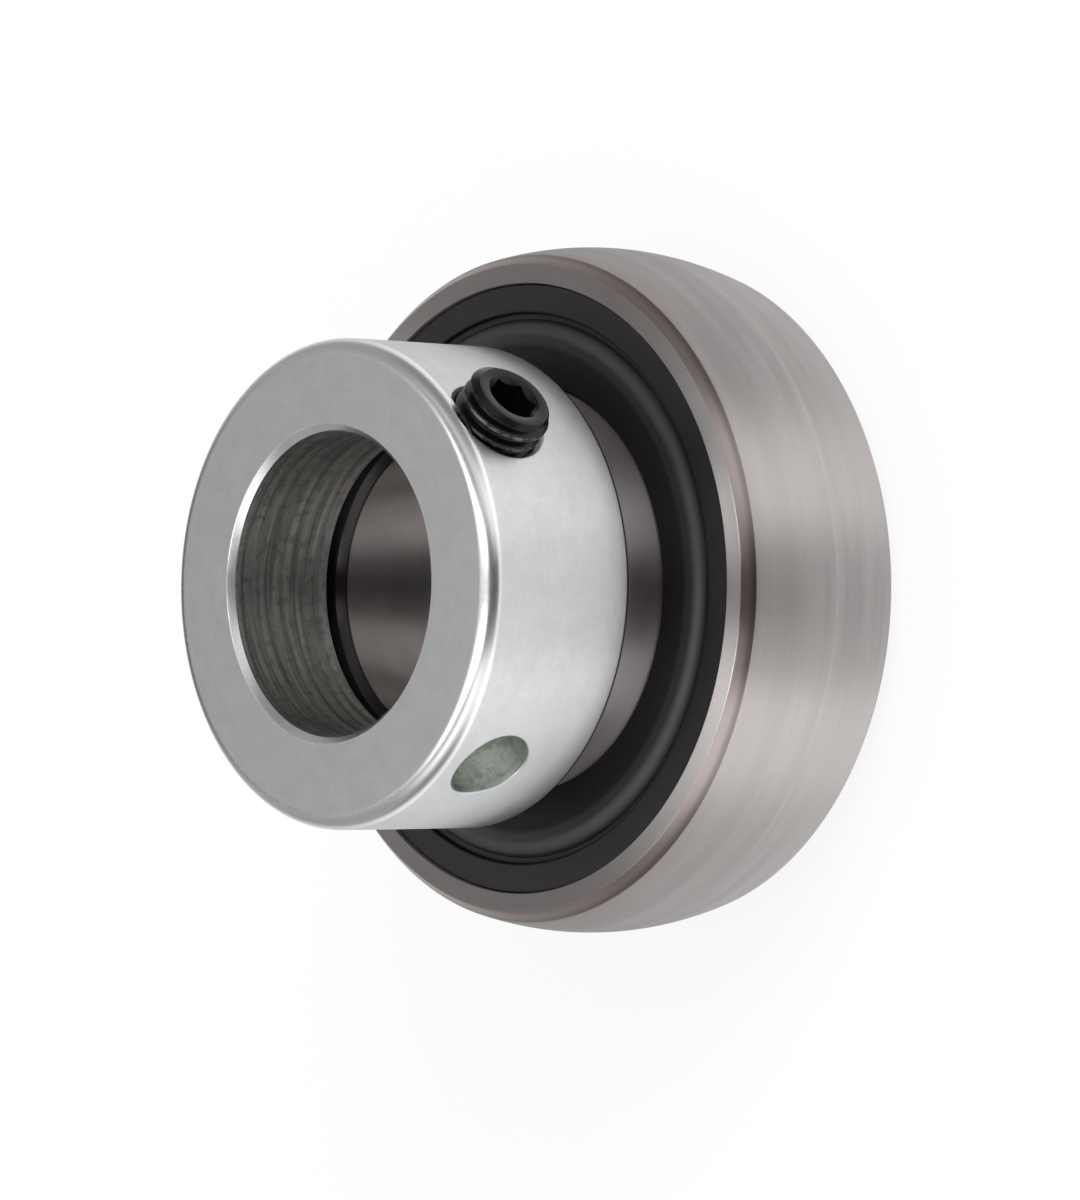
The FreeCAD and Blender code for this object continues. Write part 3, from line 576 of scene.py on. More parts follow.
def repeat_round():
    """Repeat a piece round the z axis, and weld what meets."""
    source = new_tree("repeat_round", Count="Int", First_Angle="Float")
    count = source.output("Count")
    points = source.add("GeometryNodePoints", {"Count": count})
    angle = source.output("First Angle") + source.add("GeometryNodeInputIndex") * TURN / count
    rotation = source.add("ShaderNodeCombineXYZ", {"Z": angle})
    copies = source.add("GeometryNodeInstanceOnPoints",
                        {"Points": points, "Instance": source, "Rotation": rotation})
    copies = source.add("GeometryNodeRealizeInstances", {"Geometry": copies})
    end_tree(source.add("GeometryNodeMergeByDistance", {"Geometry": copies, "Distance": 0.001 * MM}), source)


def cut_thread():
    """Cut a thread into a blank that lies along the x axis, where the blank is marked as threaded."""
    source = new_tree("cut_thread", Thread_Radius="Float", Thread_Depth="Float", Pitch="Float")
    x, y, z = source.add("GeometryNodeInputPosition").parts()
    turns = x / source.output("Pitch") - x.math("ARCTAN2", z, y) / TURN
    flank = abs(x.math("FRACT", turns) * 2.0 - 1.0).ramp(0.16, 0.86)
    wanted = source.output("Thread Radius") - source.output("Thread Depth") * flank
    scale = x.math("MINIMUM", wanted / reach(y, z), 1.0)
    moved = source.add("ShaderNodeCombineXYZ", {"X": x, "Y": y * scale, "Z": z * scale})
    marked = source.add("GeometryNodeInputNamedAttribute", {"Name": "threaded"}, data_type="FLOAT")
    chosen = marked.math("GREATER_THAN", marked, 0.5)
    cut = source.add("GeometryNodeSetPosition", {"Geometry": source, "Selection": chosen, "Position": moved})
    end_tree(cut, source)


def keep_result(piece):
    """Keep what the piece's modifiers make of it as a plain mesh."""
    depsgraph = bpy.context.evaluated_depsgraph_get()
    mesh = bpy.data.meshes.new_from_object(piece.evaluated_get(depsgraph))
    piece.modifiers.clear()
    blank = piece.data
    piece.data = mesh
    bpy.data.meshes.remove(blank)
    mesh.name = piece.name


def run_tree(piece, maker, material, **values):
    """Run a geometry tree on a piece and keep its result, with no other material than its own."""
    name = maker.__name__
    if name not in bpy.data.node_groups:
        maker()
    modifier = piece.modifiers.new(name, "NODES")
    modifier.node_group = bpy.data.node_groups[name]
    values["Material"] = finish(material)
    for item in modifier.node_group.interface.items_tree:
        if item.in_out == "INPUT" and item.name != "Geometry":
            modifier[item.identifier] = values[item.name.replace(" ", "_")]
    keep_result(piece)
    mesh = piece.data
    mesh.materials.clear()
    mesh.materials.append(finish(material))
    mesh.polygons.foreach_set("material_index", [0] * len(mesh.polygons))


def keep_shell(shell, mesh):
    """Weld a bmesh, turn its faces outwards and keep it as this mesh."""
    bmesh.ops.remove_doubles(shell, verts=shell.verts, dist=WELD)
    bmesh.ops.recalc_face_normals(shell, faces=shell.faces)
    shell.to_mesh(mesh)
    shell.free()


def smooth_edges(piece, sharp=math.radians(50)):
    """Weld a piece, turn its faces outwards and shade it smooth, with corners above an angle kept sharp."""
    mesh = piece.data
    shell = bmesh.new()
    shell.from_mesh(mesh)
    keep_shell(shell, mesh)
    mesh.shade_smooth()
    mesh.set_sharp_from_angle(angle=sharp)
    modifier = piece.modifiers.new("weighted_normals", "WEIGHTED_NORMAL")
    modifier.keep_sharp = True
    modifier.weight = 90
    keep_result(piece)


def new_piece(name, data):
    """Link a new object with this mesh, lamp or camera."""
    piece = bpy.data.objects.new(name, data)
    bpy.context.scene.collection.objects.link(piece)
    return piece


def from_bmesh(name, shell, *materials):
    """Turn a bmesh into a piece with its faces outwards."""
    mesh = bpy.data.meshes.new(name)
    keep_shell(shell, mesh)
    for material in materials:
        mesh.materials.append(finish(material))
    return new_piece(name, mesh)


def turned_piece(name, points, material):
    """Turn a closed outline of (radius, height) points round the shaft axis."""
    path = sum(point[0] for point in points) / len(points)
    edges = [(number, (number + 1) % len(points)) for number in range(len(points))]
    outline = bpy.data.meshes.new(name)
    outline.from_pydata([(point[0] - path, -point[1], 0.0) for point in points], edges, [])
    piece = new_piece(name, outline)
    run_tree(piece, turn_outline, material, Path_Radius=path, Segments=settings().rings.segments)
    smooth_edges(piece)
    return piece


def place_on(piece, node, body):
    """Let a piece stand for a CAD node, which is hidden, and ride on its body."""
    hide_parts(node)
    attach(piece, body)


def add_ring(shell, places):
    """Add a vertex at each place."""
    return [shell.verts.new(place) for place in places]


def ring_of(shell, radius, height, offset=0.0, count=None):
    """Add a ring of vertices round an axis that stands offset from the shaft axis."""
    count = count or settings().rings.segments
    angles = [TURN * number / count for number in range(count)]
    return add_ring(shell, [(offset + radius * math.cos(angle), radius * math.sin(angle), height)
                            for angle in angles])


def bridge(shell, first, second, material=0, skip=()):
    """Join two rings of as many vertices with quads."""
    count = len(first)
    for number in range(count):
        if number in skip:
            continue
        following = (number + 1) % count
        face = shell.faces.new((first[number], first[following], second[following], second[number]))
        face.material_index = material


def bridge_all(shell, rings, material=0):
    """Join each ring to the next."""
    for first, second in zip(rings, rings[1:]):
        bridge(shell, first, second, material)


def close_to_point(shell, ring, place, material=0):
    """Close a ring with triangles that meet in a point."""
    tip = shell.verts.new(place)
    for number, vert in enumerate(ring):
        shell.faces.new((vert, ring[(number + 1) % len(ring)], tip)).material_index = material


def make_outer_ring():
    """Outer ring: ground sphere, side faces, seal seats and raceway."""
    rings, seals = settings().rings, settings().seals
    chamfer_height, chamfer_width = 0.75 * MM, 0.65 * MM
    lean = math.asin((rings.half_width - chamfer_height) / rings.sphere)
    face_radius = rings.sphere * math.cos(lean) - chamfer_width
    lip = rings.half_width - LIP_DEPTH
    small = rings.rounding / 2
    front = [
        (face_radius, rings.half_width, rings.rounding),
        (seals.seat, rings.half_width, small),
        (seals.seat, lip, small),
        (seals.groove, lip - LIP_SLOPE, 0.0),
        (seals.groove, seals.shelf, small),
        (rings.outer_shoulder, seals.shelf, small),
    ]
    race_centre = rings.outer_race - rings.race_groove
    race_end = math.acos((rings.outer_shoulder - race_centre) / rings.race_groove)
    race = arc((race_centre, 0.0), rings.race_groove, race_end, -race_end, RACE_STEPS)
    back = [(radius, -height, rounding) for radius, height, rounding in reversed(front)]
    sphere = arc((0.0, 0.0), rings.sphere, -lean, lean, SPHERE_STEPS)
    piece = turned_piece("outer_ring_ground", rounded_outline(front + race + back + sphere), "ground_steel")
    place_on(piece, "outer_ring", "outer_ring")


def make_inner_ring():
    """Inner ring: bore, raceway, shoulders, and the eccentric cam in front."""
    rings = settings().rings
    back = -rings.half_width - rings.back_overhang
    chamfer = 0.5 * MM
    rounding = rings.rounding
    race_centre = rings.inner_race + rings.race_groove
    race_end = math.acos((race_centre - rings.shoulder) / rings.race_groove)
    race = arc((race_centre, 0.0), rings.race_groove, math.pi + race_end, math.pi - race_end, RACE_STEPS)
    concentric = rounded_outline([
        (SHAFT_RADIUS + chamfer, rings.ring_front, rounding),
        (SHAFT_RADIUS, rings.ring_front - chamfer, rounding),
        (SHAFT_RADIUS, back + chamfer, rounding),
        (SHAFT_RADIUS + chamfer, back, rounding),
        (rings.shoulder - chamfer, back, rounding),
        (rings.shoulder, back + chamfer, rounding),
        *race,
        (rings.shoulder, rings.shoulder_front - chamfer, rounding),
        (rings.shoulder - chamfer, rings.shoulder_front, rounding / 2),
        (rings.shoulder - 2 * chamfer, rings.shoulder_front, 0.0),
        (SHAFT_RADIUS + 2 * chamfer, rings.ring_front, 0.0),
    ])[:-2]
    relief = rings.cam - 0.3 * MM
    groove_top = rings.shoulder_front + 0.4 * MM
    eccentric = rounded_outline([
        (relief, rings.shoulder_front, 0.0),
        (relief, groove_top, rounding / 2),
        (rings.cam, groove_top, rounding / 2),
        (rings.cam, rings.ring_front - chamfer, rounding),
        (rings.cam - chamfer, rings.ring_front, rounding),
        (rings.cam - 2 * chamfer, rings.ring_front, 0.0),
    ])[:-1]
    shell = bmesh.new()
    skin = [ring_of(shell, *point) for point in concentric]
    skin += [ring_of(shell, *point, rings.cam_offset) for point in eccentric]
    bridge_all(shell, skin + skin[:1])
    piece = from_bmesh("inner_ring_ground", shell, "ground_steel")
    smooth_edges(piece)
    place_on(piece, "inner_ring", "inner_ring")


def ball_shell(radius, cuts=5):
    """A round ball made from a divided cube, so that it has no poles."""
    shell = bmesh.new()
    bmesh.ops.create_cube(shell, size=2.0)
    for _ in range(cuts):
        bmesh.ops.subdivide_edges(shell, edges=shell.edges, cuts=1, use_grid_fill=True)
        for vert in shell.verts:
            vert.co.normalize()
    for vert in shell.verts:
        vert.co *= radius
    return shell


def make_balls():
    """The lapped balls on the pitch circle."""
    rolling = settings().rolling
    for number in range(rolling.ball_count):
        angle = TURN * number / rolling.ball_count
        shell = ball_shell(rolling.ball)
        centre = Vector((math.cos(angle), math.sin(angle), 0.0)) * rolling.pitch
        bmesh.ops.translate(shell, verts=shell.verts, vec=centre)
        node = f"ball_{number + 1}"
        piece = from_bmesh(f"{node}_lapped", shell, "polished_steel")
        piece.data.shade_smooth()
        place_on(piece, node, node)


def cage_sector(rolling):
    """One pocket of a cage half, from the middle of one land to the next, as an open sleeve."""
    pocket = rolling.ball + rolling.clearance
    cup = pocket + rolling.sheet
    soft = 0.16 * MM

    def height_of(ball, radius, angle):
        """Height of a sphere round the ball over a point of the cage."""
        across = radius ** 2 + rolling.pitch ** 2 - 2 * radius * rolling.pitch * math.cos(angle)
        return math.sqrt(max(ball ** 2 - across, 0.0))

    cup_end = math.asin(cup / rolling.pitch)
    inside_cup = [cup_end * math.sin(math.radians(step * 4.5)) for step in range(-20, 21)]
    land = [cup_end + (math.pi / rolling.ball_count - cup_end) * step / 8 for step in range(1, 9)]
    inside = rolling.pitch - rolling.width / 2
    radii = [inside + rolling.width * step / 12 for step in range(13)]
    shell = bmesh.new()
    columns = []
    for angle in [-angle for angle in reversed(land)] + inside_cup + land:
        column = []
        for radius in radii:
            height = height_of(cup, radius, angle)
            blend = math.sqrt((height - rolling.sheet) ** 2 + soft ** 2)
            column.append((radius, (height + rolling.sheet + blend) / 2))
        for radius in reversed(radii):
            height = height_of(pocket, radius, angle)
            column.append((radius, (height + math.sqrt(height ** 2 + (soft / 2) ** 2) - soft / 2) / 2))
        columns.append(add_ring(shell, [(radius * math.cos(angle), radius * math.sin(angle), height)
                                        for radius, height in column]))
    bridge_all(shell, columns)
    return shell


def rivet_shell(rolling):
    """One rivet through both cage halves, with a low round head at each end."""
    top = rolling.sheet + rolling.rivet_height
    dome = (rolling.rivet_head ** 2 + rolling.rivet_height ** 2) / (2 * rolling.rivet_height)
    lean = math.asin(rolling.rivet_head / dome)
    half = [(dome * math.sin(lean * step / 8), top - dome + dome * math.cos(lean * step / 8))
            for step in range(1, 9)]
    half.append((rolling.rivet_shank, rolling.sheet))
    shell = bmesh.new()
    skin = [ring_of(shell, radius, height, count=32)
            for radius, height in half + [(radius, -height) for radius, height in reversed(half)]]
    bridge_all(shell, skin)
    close_to_point(shell, skin[0], (0.0, 0.0, top))
    close_to_point(shell, skin[-1], (0.0, 0.0, -top))
    bmesh.ops.translate(shell, verts=shell.verts, vec=(rolling.pitch, 0.0, 0.0))
    return shell


def make_cage():
    """Two pressed cage halves and the rivets that hold them together."""
    rolling = settings().rolling
    back = cage_sector(rolling)
    bmesh.ops.rotate(back, verts=back.verts, matrix=Matrix.Rotation(math.pi, 3, "X"))
    for node, form, shell, first, slot in (
        ("cage_half_front", "pressed", cage_sector(rolling), 0.0, "cage_steel"),
        ("cage_half_back", "pressed", back, 0.0, "cage_steel"),
        ("cage_rivets", "headed", rivet_shell(rolling), math.pi / rolling.ball_count, "rivet_steel"),
    ):
        piece = from_bmesh(f"{node}_{form}", shell)
        run_tree(piece, repeat_round, "pressed_steel", Count=rolling.ball_count, First_Angle=first)
        smooth_edges(piece)
        place_on(piece, node, "cage")


def make_seals():
    """A moulded rubber seal and its steel plate at each side."""
    seals = settings().seals
    gap = 0.05 * MM
    fine, small, soft = 0.05 * MM, 0.08 * MM, 0.15 * MM
    lip = settings().rings.half_width - LIP_DEPTH - gap
    bead_rise = seals.bead_top - seals.floor
    bead_reach = seals.bead_foot - seals.bead
    bead_radius = (bead_reach ** 2 + bead_rise ** 2) / (2 * bead_rise)
    bead_start = math.atan2(bead_radius - bead_rise, bead_reach)
    bead_end = math.radians(100)
    bead = arc((seals.bead, seals.bead_top - bead_radius), bead_radius, bead_start, bead_end, steps=14)
    plate_top = seals.shelf + seals.plate_sheet
    wrap = seals.plate_inside - 0.5 * MM
    rubber = rounded_outline([
        (seals.groove - gap, seals.shelf, small),
        (seals.groove - gap, lip - LIP_SLOPE, small),
        (seals.seat - gap, lip, fine),
        (seals.seat - gap, seals.rim_top, 0.12 * MM),
        (seals.rim_inside, seals.rim_top, soft),
        (seals.rim_inside, seals.floor, soft),
        *bead,
        (seals.lip + 0.2 * MM, seals.lip_top, 0.1 * MM),
        (seals.lip, seals.lip_top - 0.2 * MM, fine),
        (seals.lip, seals.lip_top - 0.4 * MM, fine),
        (wrap, plate_top, 0.0),
        (wrap, seals.shelf, small),
        (seals.plate_inside, seals.shelf, 0.0),
        (seals.plate_inside, plate_top, 0.0),
        (seals.plate_outside, plate_top, 0.0),
        (seals.plate_outside, seals.shelf, 0.0),
    ])
    plate = rounded_outline([
        (seals.plate_inside, seals.shelf, small),
        (seals.plate_outside, seals.shelf, small),
        (seals.plate_outside, plate_top, small),
        (seals.plate_inside, plate_top, small),
    ])
    for side, sign in (("front", 1), ("back", -1)):
        for node, form, outline, material, slot in (
            (f"seal_{side}", "moulded", rubber, "moulded_rubber", "seal_rubber"),
            (f"seal_{side}_plate", "stamped", plate, "pressed_steel", "plate_steel"),
        ):
            piece = turned_piece(f"{node}_{form}", [(x, sign * z) for x, z in outline], material)
            place_on(piece, node, "outer_ring")


class HoleFrame:
    """A radial hole in the collar: its axis, and points given by their place across it."""

    def __init__(self, angle, height):
        self.angle = angle
        self.height = height
        self.axis = Vector((math.cos(angle), math.sin(angle), 0.0))
        self.side = Vector((-math.sin(angle), math.cos(angle), 0.0))

    def point(self, distance, across, up):
        """A point at a distance from the shaft axis, measured along the hole."""
        return self.axis * distance + self.side * across + Vector((0.0, 0.0, self.height + up))

    def wall_point(self, wall, across, up, sunk=0.0):
        """A point on a wall round the shaft axis, or sunk below it along the hole."""
        return self.point(math.sqrt(wall ** 2 - across ** 2) - sunk, across, up)

    def turn_of(self, place):
        """How far round the shaft axis a place is from the hole, in radians."""
        return math.remainder(math.atan2(place.y, place.x) - self.angle, TURN)

    def bearings(self, loop):
        """The direction of each vertex of a window, seen from the hole's centre."""
        return [math.atan2(vert.co.z - self.height, self.turn_of(vert.co) * vert.co.xy.length)
                for vert in loop]


def find_window(rows, hole, half):
    """The rows and columns of the smallest window that reaches half a width beyond the hole's centre."""
    def nearest(height):
        return min(range(len(rows)), key=lambda row: abs(rows[row][0].co.z - height))

    first_row, last_row = sorted((nearest(hole.height - half), nearest(hole.height + half)))
    turn = half / rows[0][0].co.xy.length
    step = TURN / len(rows[0])
    return first_row, last_row, math.floor((hole.angle - turn) / step), math.ceil((hole.angle + turn) / step)


def window_loop(rows, window):
    """The vertices round a window."""
    first_row, last_row, first, last = window
    columns = [column % len(rows[0]) for column in range(first, last + 1)]
    loop = [rows[first_row][column] for column in columns]
    loop += [rows[row][columns[-1]] for row in range(first_row + 1, last_row + 1)]
    loop += [rows[last_row][column] for column in reversed(columns[:-1])]
    loop += [rows[row][columns[0]] for row in range(last_row - 1, first_row, -1)]
    return loop


def bridge_rows(shell, rows, windows, material=0):
    """Join the rows of a cylinder, and leave the windows open."""
    count = len(rows[0])
    for number, (first, second) in enumerate(zip(rows, rows[1:])):
        skip = set()
        for first_row, last_row, start, end in windows:
            if first_row <= number < last_row:
                skip |= {column % count for column in range(start, end)}
        bridge(shell, first, second, material, skip)


def lead_in(shell, loop, hole, edge, radius_at):
    """Rings that lead over the cylinder from a window to the edge of a hole."""
    rings = [loop]
    radius = radius_at(hole.height)
    for share in (0.35, 0.65, 0.85, 0.95):
        places = []
        for vert, (across, up) in zip(loop, edge):
            start = hole.turn_of(vert.co)
            turn = start + (math.asin(across / radius) - start) * share
            rise = vert.co.z - hole.height
            rise += (up - rise) * share
            wall = radius_at(hole.height + rise)
            places.append(hole.point(wall * math.cos(turn), wall * math.sin(turn), rise))
        rings.append(add_ring(shell, places))
    return rings


def around(bearings, radii):
    """Places across a hole, at these bearings and radii."""
    return [(radius * math.cos(bearing), radius * math.sin(bearing))
            for bearing, radius in zip(bearings, radii)]


def drill_drift_hole(shell, rows, window, hole, collar):
    """The blind hole, with a softly broken edge, a drilled wall and the drill's point."""
    loop = window_loop(rows, window)
    bearings = hole.bearings(loop)
    count = len(loop)
    edge = 0.14 * MM
    steps = 5
    outline = around(bearings, [DRIFT_RADIUS + edge] * count)
    rings = lead_in(shell, loop, hole, outline, lambda height: collar.outside)
    for step in range(steps + 1):
        lean = math.radians(90 * step / steps)
        radius = DRIFT_RADIUS + edge * (1 - math.sin(lean))
        sunk = edge * (1 - math.cos(lean))
        rings.append(add_ring(shell, [hole.wall_point(collar.outside, *place, sunk)
                                      for place in around(bearings, [radius] * count)]))
    bridge_all(shell, rings)
    bottom = collar.outside - collar.drift_depth
    point_depth = DRIFT_RADIUS / math.tan(DRILL_POINT)
    places = around(bearings, [DRIFT_RADIUS] * count)
    wall = [rings[-1]]
    tops = [hole.axis.dot(vert.co) for vert in rings[-1]]
    for share in (0.3, 0.6, 0.85, 0.97, 1.0):
        wall.append(add_ring(shell, [hole.point(top + (bottom - top) * share, *place)
                                     for top, place in zip(tops, places)]))
    for share in (0.96, 0.7, 0.4, 0.15):
        depth = bottom - point_depth * (1 - share)
        wall.append(add_ring(shell, [hole.point(depth, across * share, up * share)
                                     for across, up in places]))
    bridge_all(shell, wall, 2)
    close_to_point(shell, wall[-1], hole.point(bottom - point_depth, 0.0, 0.0), 2)


def sink_radius(collar, bearing):
    """Where the countersink's cone leaves the outside of the collar, in one direction."""
    radius = collar.sink
    for _ in range(20):
        across = radius * math.cos(bearing)
        radius = math.sqrt(collar.outside ** 2 - across ** 2) - (collar.outside - collar.sink)
    return radius


def drill_screw_hole(shell, rows, window, bore_rows, bore_window, hole, collar, bore_at):
    """The countersunk hole of the set screw, through to the bore."""
    loop = window_loop(rows, window)
    bearings = hole.bearings(loop)
    soft = 0.06 * MM
    outline = [sink_radius(collar, bearing) for bearing in bearings]
    outer_edge = around(bearings, [radius + soft for radius in outline])
    rings = lead_in(shell, loop, hole, outer_edge, lambda height: collar.outside)
    rings.append(add_ring(shell, [hole.wall_point(collar.outside, *place) for place in outer_edge]))
    cone_base = collar.outside - collar.sink
    for share in (0.12, 0.5, 0.9, 1.0):
        radii = [radius + (collar.screw_hole - radius) * share for radius in outline]
        rings.append(add_ring(shell, [hole.point(cone_base + radius, *place)
                                      for radius, place in zip(radii, around(bearings, radii))]))
    bridge_all(shell, rings)

    bore_loop = window_loop(bore_rows, bore_window)
    bore_bearings = hole.bearings(bore_loop)
    places = around(bore_bearings, [collar.screw_hole + soft] * len(bore_loop))
    bore_rings = lead_in(shell, bore_loop, hole, places, bore_at)
    for radius, sunk in ((collar.screw_hole + soft, 0.0), (collar.screw_hole, -soft)):
        places = around(bore_bearings, [radius] * len(bore_loop))
        bore_rings.append(add_ring(shell, [hole.wall_point(bore_at(hole.height + up), across, up, sunk)
                                           for across, up in places]))
    bridge_all(shell, bore_rings, 1)
    ends = []
    for ring in (rings[-1], bore_rings[-1]):
        ends += [shell.edges.get((ring[number - 1], ring[number])) for number in range(len(ring))]
    for face in bmesh.ops.bridge_loops(shell, edges=ends)["faces"]:
        face.material_index = 1


def make_locking_collar():
    """Locking collar: turned outside, grooved bore, eccentric recess, drift hole and screw hole."""
    collar, rings, screw = settings().collar, settings().rings, settings().screw
    soft = rings.rounding
    bore_top = collar.front - collar.bore_chamfer
    floor = collar.recess_floor

    def bore_at(height):
        """Radius of the bore, with its turning grooves, which fade out at both ends."""
        fade = min(1.0, (height - floor) / (0.5 * MM), (bore_top - height) / (0.4 * MM))
        wave = 0.5 - 0.5 * math.cos(TURN * height / collar.groove_pitch)
        return COLLAR_BORE_RADIUS + collar.groove_depth * wave * max(fade, 0.0)

    shell = bmesh.new()
    outline = rounded_outline([
        (COLLAR_BORE_RADIUS, floor, 0.0),
        (COLLAR_BORE_RADIUS, bore_top, soft / 3),
        (COLLAR_BORE_RADIUS + collar.bore_chamfer, collar.front, soft / 2),
        (collar.outside, collar.front, collar.rounding),
        (collar.outside, collar.back + collar.chamfer, 0.1 * MM),
        (collar.outside - collar.chamfer, collar.back, 0.1 * MM),
        (COLLAR_BORE_RADIUS + 1.0 * MM, collar.back, 0.0),
    ], steps=8)[1:-1]
    middle = (collar.front + collar.back) / 2
    front_part = [point for point in outline if point.y > middle]
    back_part = [point for point in outline if point.y < middle]
    front_rings = [ring_of(shell, *point) for point in front_part]
    back_rings = [ring_of(shell, *point) for point in back_part]

    top, bottom = front_part[-1].y, back_part[0].y
    outside = [front_rings[-1]]
    outside += [ring_of(shell, collar.outside, top + (bottom - top) * row / OUTSIDE_ROWS)
                for row in range(1, OUTSIDE_ROWS)]
    outside.append(back_rings[0])

    bore_start, bore_end = floor + 0.1 * MM, front_part[0].y
    bore_count = GROOVE_ROWS * round((bore_end - bore_start) / collar.groove_pitch)
    heights = [bore_start + (bore_end - bore_start) * row / bore_count for row in range(bore_count)]
    bore = [ring_of(shell, bore_at(height), height) for height in heights] + [front_rings[0]]
    floor_edge = [ring_of(shell, COLLAR_BORE_RADIUS + 0.1 * MM, floor),
                  ring_of(shell, COLLAR_BORE_RADIUS + 0.03 * MM, floor + 0.03 * MM), bore[0]]

    recess = rounded_outline([
        (collar.recess + 1.0 * MM, collar.back, 0.0),
        (collar.recess + 0.3 * MM, collar.back, soft / 2),
        (collar.recess, collar.back + 0.3 * MM, soft / 2),
        (collar.recess, floor, soft),
        (COLLAR_BORE_RADIUS, floor, 0.0),
    ])[1:-1]
    recess_rings = [ring_of(shell, *point, rings.cam_offset) for point in recess]

    drift = HoleFrame(collar.drift_angle, collar.drift_height)
    screw_hole = HoleFrame(screw.angle, screw.height)
    drift_window = find_window(outside, drift, half=3.7 * MM)
    screw_window = find_window(outside, screw_hole, half=4.4 * MM)
    bore_window = find_window(bore, screw_hole, half=3.5 * MM)
    bridge_rows(shell, outside, [drift_window, screw_window])
    bridge_rows(shell, bore, [bore_window], 1)
    bridge_all(shell, floor_edge, 1)
    bridge_all(shell, front_rings)
    bridge_all(shell, back_rings + recess_rings + floor_edge[:1])
    drill_drift_hole(shell, outside, drift_window, drift, collar)
    drill_screw_hole(shell, outside, screw_window, bore, bore_window, screw_hole, collar, bore_at)

    piece = from_bmesh("locking_collar_plated", shell, "zinc_plating", "turned_bore", "drilled_wall")
    smooth_edges(piece)
    place_on(piece, "locking_collar", "locking_collar")


def make_set_screw():
    """Set screw: rolled thread, cup point, and a hex socket with a coned mouth."""
    screw = settings().screw
    count = 144
    turn, end, socket = screw.socket_turn, screw.length, screw.socket
    shell = bmesh.new()
    layer = shell.verts.layers.float.new("threaded")

    angles = [turn + TURN * number / count for number in range(count)]
    hexagon = [socket / math.cos((angle - turn) % (TURN / 6) - TURN / 12) for angle in angles]

    def ring_at(places, radii):
        """A ring across the screw, whose place and radius change round it."""
        return add_ring(shell, [(place, radius * math.cos(angle), radius * math.sin(angle))
                                for place, radius, angle in zip(places, radii, angles)])

    def plain(place, radius):
        """A round ring across the screw."""
        return ring_at([place] * count, [radius] * count)

    cup = [plain(screw.cup_depth * (1 - share), screw.cup * share) for share in (0.05, 0.5, 0.95)]
    outline = rounded_outline([
        (screw.cup_depth, 0.0, 0.0),
        (0.0, screw.cup, 0.05 * MM),
        (screw.radius - screw.cup, screw.radius, 0.0),
        (end - screw.end_chamfer, screw.radius, 0.1 * MM),
        (end, screw.radius - screw.end_chamfer, 0.1 * MM),
        (end, socket, 0.0),
    ])[1:-1]
    outside = []
    for first, second in zip(outline, outline[1:]):
        steps = max(1, round((second - first).length / (0.05 * MM)))
        outside += [first.lerp(second, step / steps) for step in range(steps)]
    threaded = [plain(*point) for point in outside + outline[-1:]]
    mouth_radius = socket + screw.socket_mouth
    soft = 0.04 * MM
    mouth = [
        plain(end, mouth_radius + soft),
        plain(end - soft, mouth_radius - soft / 2),
        ring_at([end - (mouth_radius - radius) for radius in hexagon], hexagon),
    ]
    floor = end - screw.socket_depth
    walls = [mouth[-1]]
    walls += [ring_at([place] * count, hexagon) for place in (end - 1.0 * MM, floor + 1.0 * MM, floor)]
    point_depth = socket / math.tan(DRILL_POINT)
    bottom = [walls[-1]]
    bottom += [plain(floor - point_depth * (1 - share), socket * share) for share in (1.0, 0.5, 0.05)]
    for rings in (cup + threaded[:1], threaded, threaded[-1:] + mouth, walls, bottom):
        bridge_all(shell, rings)
    for ring in (cup[0], bottom[-1]):
        shell.faces.new(ring)
    for ring in threaded:
        for vert in ring:
            vert[layer] = 1.0

    piece = from_bmesh("set_screw_threaded", shell)
    run_tree(piece, cut_thread, "black_oxide", Thread_Radius=screw.radius, Thread_Depth=screw.thread_depth,
             Pitch=screw.pitch)
    place = Matrix.Rotation(screw.angle, 4, "Z")
    place.translation = Vector((math.cos(screw.angle), math.sin(screw.angle), 0.0)) * screw.tip
    place.translation.z = screw.height
    piece.data.transform(place)
    smooth_edges(piece, math.radians(40))
    place_on(piece, "set_screw", "set_screw")


